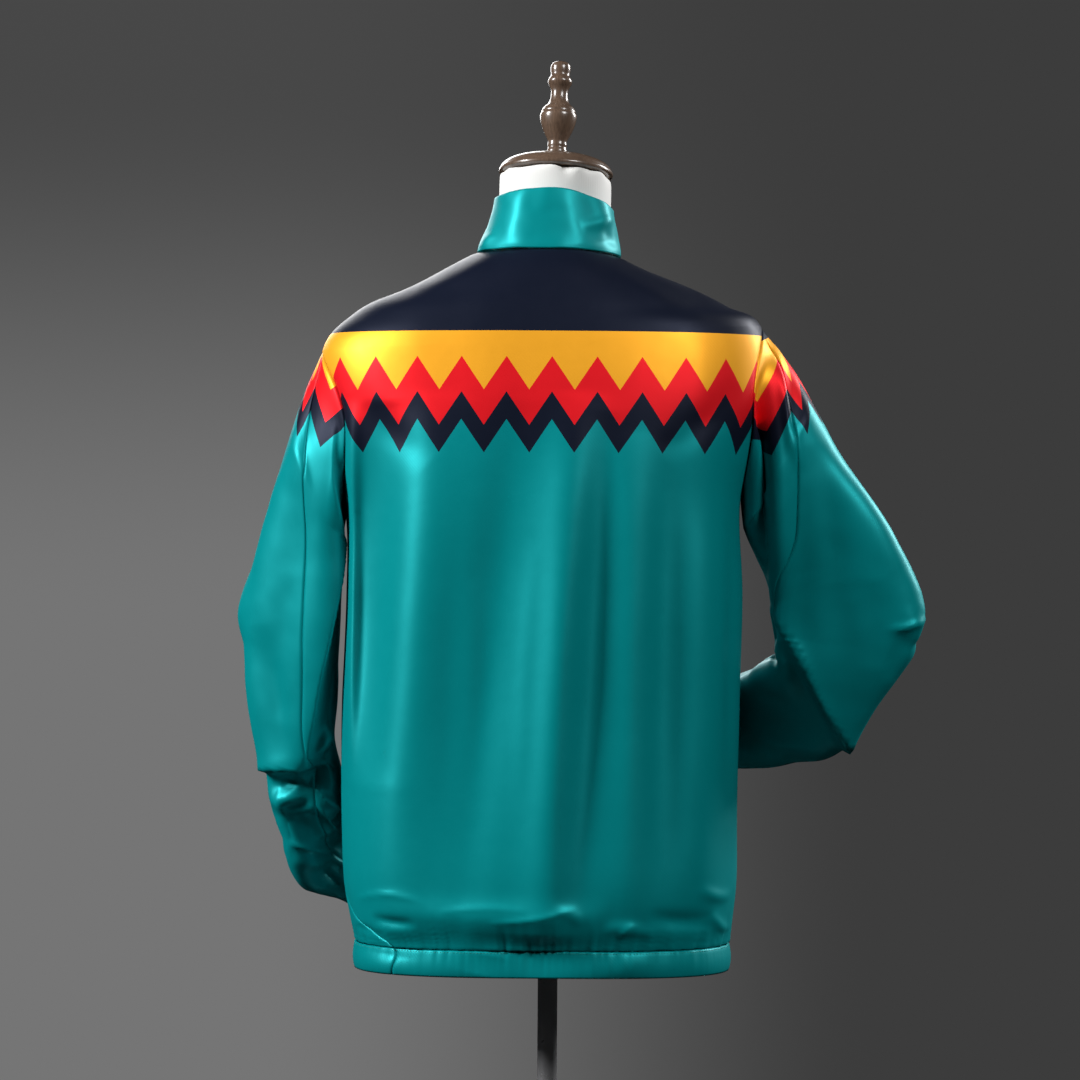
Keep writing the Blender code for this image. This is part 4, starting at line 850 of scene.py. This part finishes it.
# Twisted thread: half matt, with a fine slanting lay.
thread, shader = new_material("polyester sewing thread")
place = add(thread, "ShaderNodeTexCoord").outputs["Object"]
twist = add(thread, "ShaderNodeTexWave", {"bands_direction": "DIAGONAL"},
            {"Vector": place, "Scale": 1000.0 * TWIST_PER_SCALE / TWIST_MM})
lay = add(thread, "ShaderNodeBump", None,
          {"Strength": 0.5, "Distance": 0.0001, "Height": twist.outputs["Fac"]})
thread.node_tree.links.new(lay.outputs[0], shader.inputs["Normal"])
shader.inputs["Base Color"].default_value = colour("#00857F")
shader.inputs["Roughness"].default_value = 0.5

fine = np.linspace(STITCH_FROM, STITCH_TO, STITCH_STEPS)
stitched, stitched_out = casing_surface([STITCH_RING], fine[None, :])
stitched, stitched_out = stitched[0], stitched_out[0]
reach = np.concatenate([[0.0], np.linalg.norm(np.diff(stitched, axis=0), axis=1).cumsum()])
row = bmesh.new()
size = Matrix.Diagonal((0.5 * STITCH_LENGTH, THREAD, THREAD, 1.0))
for k in range(int(reach[-1] / STITCH_PITCH)):
    spot, out = on_line(k * STITCH_PITCH, reach, stitched, stitched_out)
    along = Vector((0.0, 0.0, 1.0)).cross(out).normalized()
    turn = Matrix((along, out, along.cross(out))).transposed().to_4x4()
    place = Matrix.Translation(spot + out * STITCH_PROUD)
    bmesh.ops.create_icosphere(row, subdivisions=1, radius=1.0, matrix=place @ turn @ size)
data = bpy.data.meshes.new("hem_stitches")
row.to_mesh(data)
row.free()
data.shade_smooth()
data.materials.append(thread)
stitches = bpy.data.objects.new("hem_stitches", data)
bpy.context.scene.collection.objects.link(stitches)
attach(stitches, "garment")

# ---------------------------------------------------------------------------------------------
# The dress form. A padded torso under white cotton jersey, with no limbs and no head. The neck
# is closed by a turned hardwood cap and finial, stained dark and lacquered.
# ---------------------------------------------------------------------------------------------
RIB_MM = 2.37              # real ribs lie 0.8 mm apart: drawn coarser so that they show
RIB_RELIEF = 0.0002
GRAIN_MM = 1.6
GRAIN_STRETCH = 0.12       # below 1 the grain is drawn out upwards, along the turned pieces
WOOD_DARK, WOOD_LIGHT = "#33261E", "#7C6554"

# Knitted cotton: matt white with a faint bloom at its edges and fine upright ribs.
jersey, shader = new_material("white cotton jersey")
place = add(jersey, "ShaderNodeTexCoord").outputs["Object"]
knit = add(jersey, "ShaderNodeTexWave", {"wave_type": "BANDS", "bands_direction": "X"},
           {"Vector": place, "Scale": 1000.0 * WAVE_PER_SCALE / RIB_MM, "Distortion": 0.8})
knitted = add(jersey, "ShaderNodeBump", None,
              {"Strength": 0.2, "Distance": RIB_RELIEF, "Height": knit.outputs["Fac"]})
jersey.node_tree.links.new(knitted.outputs[0], shader.inputs["Normal"])
shader.inputs["Base Color"].default_value = colour("#E9E9E6")
shader.inputs["Roughness"].default_value = 0.8
shader.inputs["Sheen Weight"].default_value = 0.15

# Beech stained dark under lacquer: small sharp glints over a warm, streaked brown.
lacquered, shader = new_material("stained and lacquered beech")
place = add(lacquered, "ShaderNodeTexCoord").outputs["Object"]
stretched = add(lacquered, "ShaderNodeMapping", None,
                {"Vector": place, "Scale": (1.0, 1.0, GRAIN_STRETCH)}).outputs[0]
grain = add(lacquered, "ShaderNodeTexNoise", None,
            {"Vector": stretched, "Scale": 1000.0 / GRAIN_MM, "Detail": 5.0, "Distortion": 0.6})
shades = add(lacquered, "ShaderNodeMix", {"data_type": "RGBA"},
             {0: grain.outputs["Fac"], 6: colour(WOOD_DARK), 7: colour(WOOD_LIGHT)}).outputs[2]
lacquered.node_tree.links.new(shades, shader.inputs["Base Color"])
shader.inputs["Roughness"].default_value = 0.3
shader.inputs["Coat Weight"].default_value = 0.5
shader.inputs["Coat Roughness"].default_value = 0.12


def smooth_copy(node_name, new_name, material, levels, keen_angle):
    """A merged copy of a CAD node, its triangles joined to quads and rounded by subdivision."""
    mesh = bmesh.new()
    mesh.from_mesh(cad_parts[node_name].data)
    bmesh.ops.remove_doubles(mesh, verts=mesh.verts, dist=0.00001)
    bmesh.ops.join_triangles(mesh, faces=mesh.faces, angle_face_threshold=math.radians(20),
                             angle_shape_threshold=math.radians(180))
    data = bpy.data.meshes.new(new_name)
    mesh.to_mesh(data)
    mesh.free()
    data.materials.clear()
    data.materials.append(material)
    data.shade_smooth()
    data.set_sharp_from_angle(angle=math.radians(keen_angle))
    piece = bpy.data.objects.new(new_name, data)
    bpy.context.scene.collection.objects.link(piece)
    if levels:
        rounder = piece.modifiers.new("rounded", "SUBSURF")
        rounder.levels = rounder.render_levels = levels
    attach(piece, "garment")
    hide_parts(node_name)
    return piece


torso = smooth_copy("form_torso", "form_torso_jersey", jersey, 2, 50)
smooth_copy("neck_cap", "neck_cap_wood", lacquered, 1, 40)
smooth_copy("finial", "finial_wood", lacquered, 1, 60)

# ---------------------------------------------------------------------------------------------
# The stand. A chromed steel tube that carries the form on its upper end, screwed into a round steel
# foot, which is turned and brushed.
# ---------------------------------------------------------------------------------------------
HAZE_MM = 16.7             # hazy patches
BRUSH_MM = 1.58            # real brush lines are finer: drawn coarser so that they show
BRUSH_RELIEF = 0.0001

# Chrome gone hazy with handling: long soft streaks, bright at one side and dark at the other.
chrome, shader = new_material("chromed steel tube")
place = add(chrome, "ShaderNodeTexCoord").outputs["Object"]
haze = add(chrome, "ShaderNodeTexNoise", None, {"Vector": place, "Scale": 1000.0 / HAZE_MM, "Detail": 4.0})
dulled = add(chrome, "ShaderNodeMapRange", None,
             {"Value": haze.outputs["Fac"], "To Min": 0.24, "To Max": 0.34})
chrome.node_tree.links.new(dulled.outputs[0], shader.inputs["Roughness"])
shader.inputs["Base Color"].default_value = colour("#DCDCDF")
shader.inputs["Metallic"].default_value = 0.62

# Steel brushed on a lathe: a fan of light over fine rings.
brushed, shader = new_material("brushed steel plate")
place = add(brushed, "ShaderNodeTexCoord").outputs["Object"]
turned = add(brushed, "ShaderNodeTexWave", {"wave_type": "RINGS", "rings_direction": "Z"},
             {"Vector": place, "Scale": 1000.0 * WAVE_PER_SCALE / BRUSH_MM, "Distortion": 0.4})
lines = add(brushed, "ShaderNodeBump", None,
            {"Strength": 0.25, "Distance": BRUSH_RELIEF, "Height": turned.outputs["Fac"]})
brushed.node_tree.links.new(lines.outputs[0], shader.inputs["Normal"])
shader.inputs["Base Color"].default_value = colour("#C4C4C7")
shader.inputs["Roughness"].default_value = 0.36
shader.inputs["Metallic"].default_value = 0.80

smooth_copy("pole", "pole_tube", chrome, 0, 40)
smooth_copy("base_plate", "base_plate_steel", brushed, 0, 30)

# ---------------------------------------------------------------------------------------------
# The studio. A pale floor that throws no light back, and a grey backdrop with a painted pool of light low
# on the left, which only the camera sees. The key light stands high on the left, a weaker fill high on the
# right, a rim light beyond on the right and a light for the front, and a long lens looks level at the
# garment's middle.
# ---------------------------------------------------------------------------------------------
PIXEL = 0.00104            # metres to a pixel of the photograph, at the garment's middle plane
FOCAL_PIXELS = 4150.0      # the lens's focal length in the photograph's pixels: a long lens
PHOTO_SIZE = 1080.0
SENSOR_MM = 36.0
EYE = Vector((0.0111, FOCAL_PIXELS * PIXEL, 1.19))
FLOOR_HALF = 2.6           # metres from the stand to the floor's edge
BACKDROP_DARK, BACKDROP_LIGHT, ROOM_DARK = "#3C3C3C", "#757575", "#161616"
# The glow is a painted pool of light on the backdrop, lighter low on the left
GLOW_FROM, GLOW_TO = -0.082, 0.070         # across the view, as parts of a unit direction
GLOW_LOW, GLOW_HIGH = -0.02, 0.11          # and up it
GLOW_LEFT_ABOVE = 0.14                     # what is left of the glow above that
CAMERA_TURN = 180.0        # degrees: it looks along -Y, at the back
CAMERA_LEAN = 0.4          # degrees that the photograph is turned

floor_mesh = bmesh.new()
bmesh.ops.create_grid(floor_mesh, x_segments=1, y_segments=1, size=FLOOR_HALF)
data = bpy.data.meshes.new("floor")
floor_mesh.to_mesh(data)
floor_mesh.free()
# Matt paint: a plain pale ground with no reflection in it.
pale, shader = new_material("pale painted floor")
shader.inputs["Base Color"].default_value = colour("#C9C9C8")
shader.inputs["Roughness"].default_value = 0.6
data.materials.append(pale)
floor = bpy.data.objects.new("floor", data)
bpy.context.scene.collection.objects.link(floor)
floor.visible_diffuse = False      # it throws no light back up under the garment
floor.visible_glossy = False       # and isn't seen in the satin or the chrome

Light = namedtuple("Light", "name place aim wide tall watts")
for row in (
        Light("key", (3.4, 1.2, 3.0), (0.0, 0.0, 1.15), 0.9, 1.3, 222.0),
        Light("fill", (-2.2, 2.6, 3.4), (0.0, 0.0, 1.1), 1.2, 1.2, 92.0),
        Light("rim", (-2.7, -1.8, 2.6), (-0.25, 0.0, 1.2), 0.8, 1.4, 90.0),
        Light("front", (0.9, -3.2, 2.6), (0.0, 0.0, 1.1), 1.6, 1.6, 50.0)):
    lamp = bpy.data.lights.new(row.name, "AREA")
    lamp.shape, lamp.size, lamp.size_y, lamp.energy = "RECTANGLE", row.wide, row.tall, row.watts
    light = bpy.data.objects.new(row.name, lamp)
    bpy.context.scene.collection.objects.link(light)
    light.location = row.place
    light.rotation_euler = (Vector(row.aim) - Vector(row.place)).to_track_quat("-Z", "Y").to_euler()

world = bpy.data.worlds.new("studio")
world.use_nodes = True
bpy.context.scene.world = world
sky = add(world, "ShaderNodeTexCoord")
way = add(world, "ShaderNodeSeparateXYZ", None, {0: sky.outputs["Generated"]})
# The backdrop's painted pool of light: lighter low on the left, seen only by the camera; other rays see the
# dark room
left = add(world, "ShaderNodeMapRange", {"interpolation_type": "SMOOTHSTEP"},
           {"Value": way.outputs["X"], "From Min": GLOW_FROM, "From Max": GLOW_TO, "To Min": 0.0,
            "To Max": 1.0})
down = add(world, "ShaderNodeMapRange", {"interpolation_type": "SMOOTHSTEP"},
           {"Value": way.outputs["Z"], "From Min": GLOW_LOW, "From Max": GLOW_HIGH, "To Min": 1.0,
            "To Max": GLOW_LEFT_ABOVE})
both = add(world, "ShaderNodeMath", {"operation": "MULTIPLY"}, {0: left.outputs[0], 1: down.outputs[0]})
grey = add(world, "ShaderNodeMix", {"data_type": "RGBA"},
           {0: both.outputs[0], 6: colour(BACKDROP_DARK), 7: colour(BACKDROP_LIGHT)})
seen = add(world, "ShaderNodeLightPath").outputs["Is Camera Ray"]
room = add(world, "ShaderNodeMix", {"data_type": "RGBA"},
           {0: seen, 6: colour(ROOM_DARK), 7: grey.outputs[2]})
world.node_tree.links.new(room.outputs[2], world.node_tree.nodes["Background"].inputs[0])
bpy.context.scene.view_settings.view_transform = "Standard"

lens = bpy.data.cameras.new("camera")
lens.sensor_width = SENSOR_MM
lens.lens = SENSOR_MM * FOCAL_PIXELS / PHOTO_SIZE
camera = bpy.data.objects.new("camera", lens)
bpy.context.scene.collection.objects.link(camera)
camera.matrix_world = Matrix.Translation(EYE) @ Matrix.Rotation(math.radians(CAMERA_TURN), 4, "Z") \
    @ Matrix.Rotation(math.radians(90), 4, "X") @ Matrix.Rotation(math.radians(CAMERA_LEAN), 4, "Z")
bpy.context.scene.camera = camera
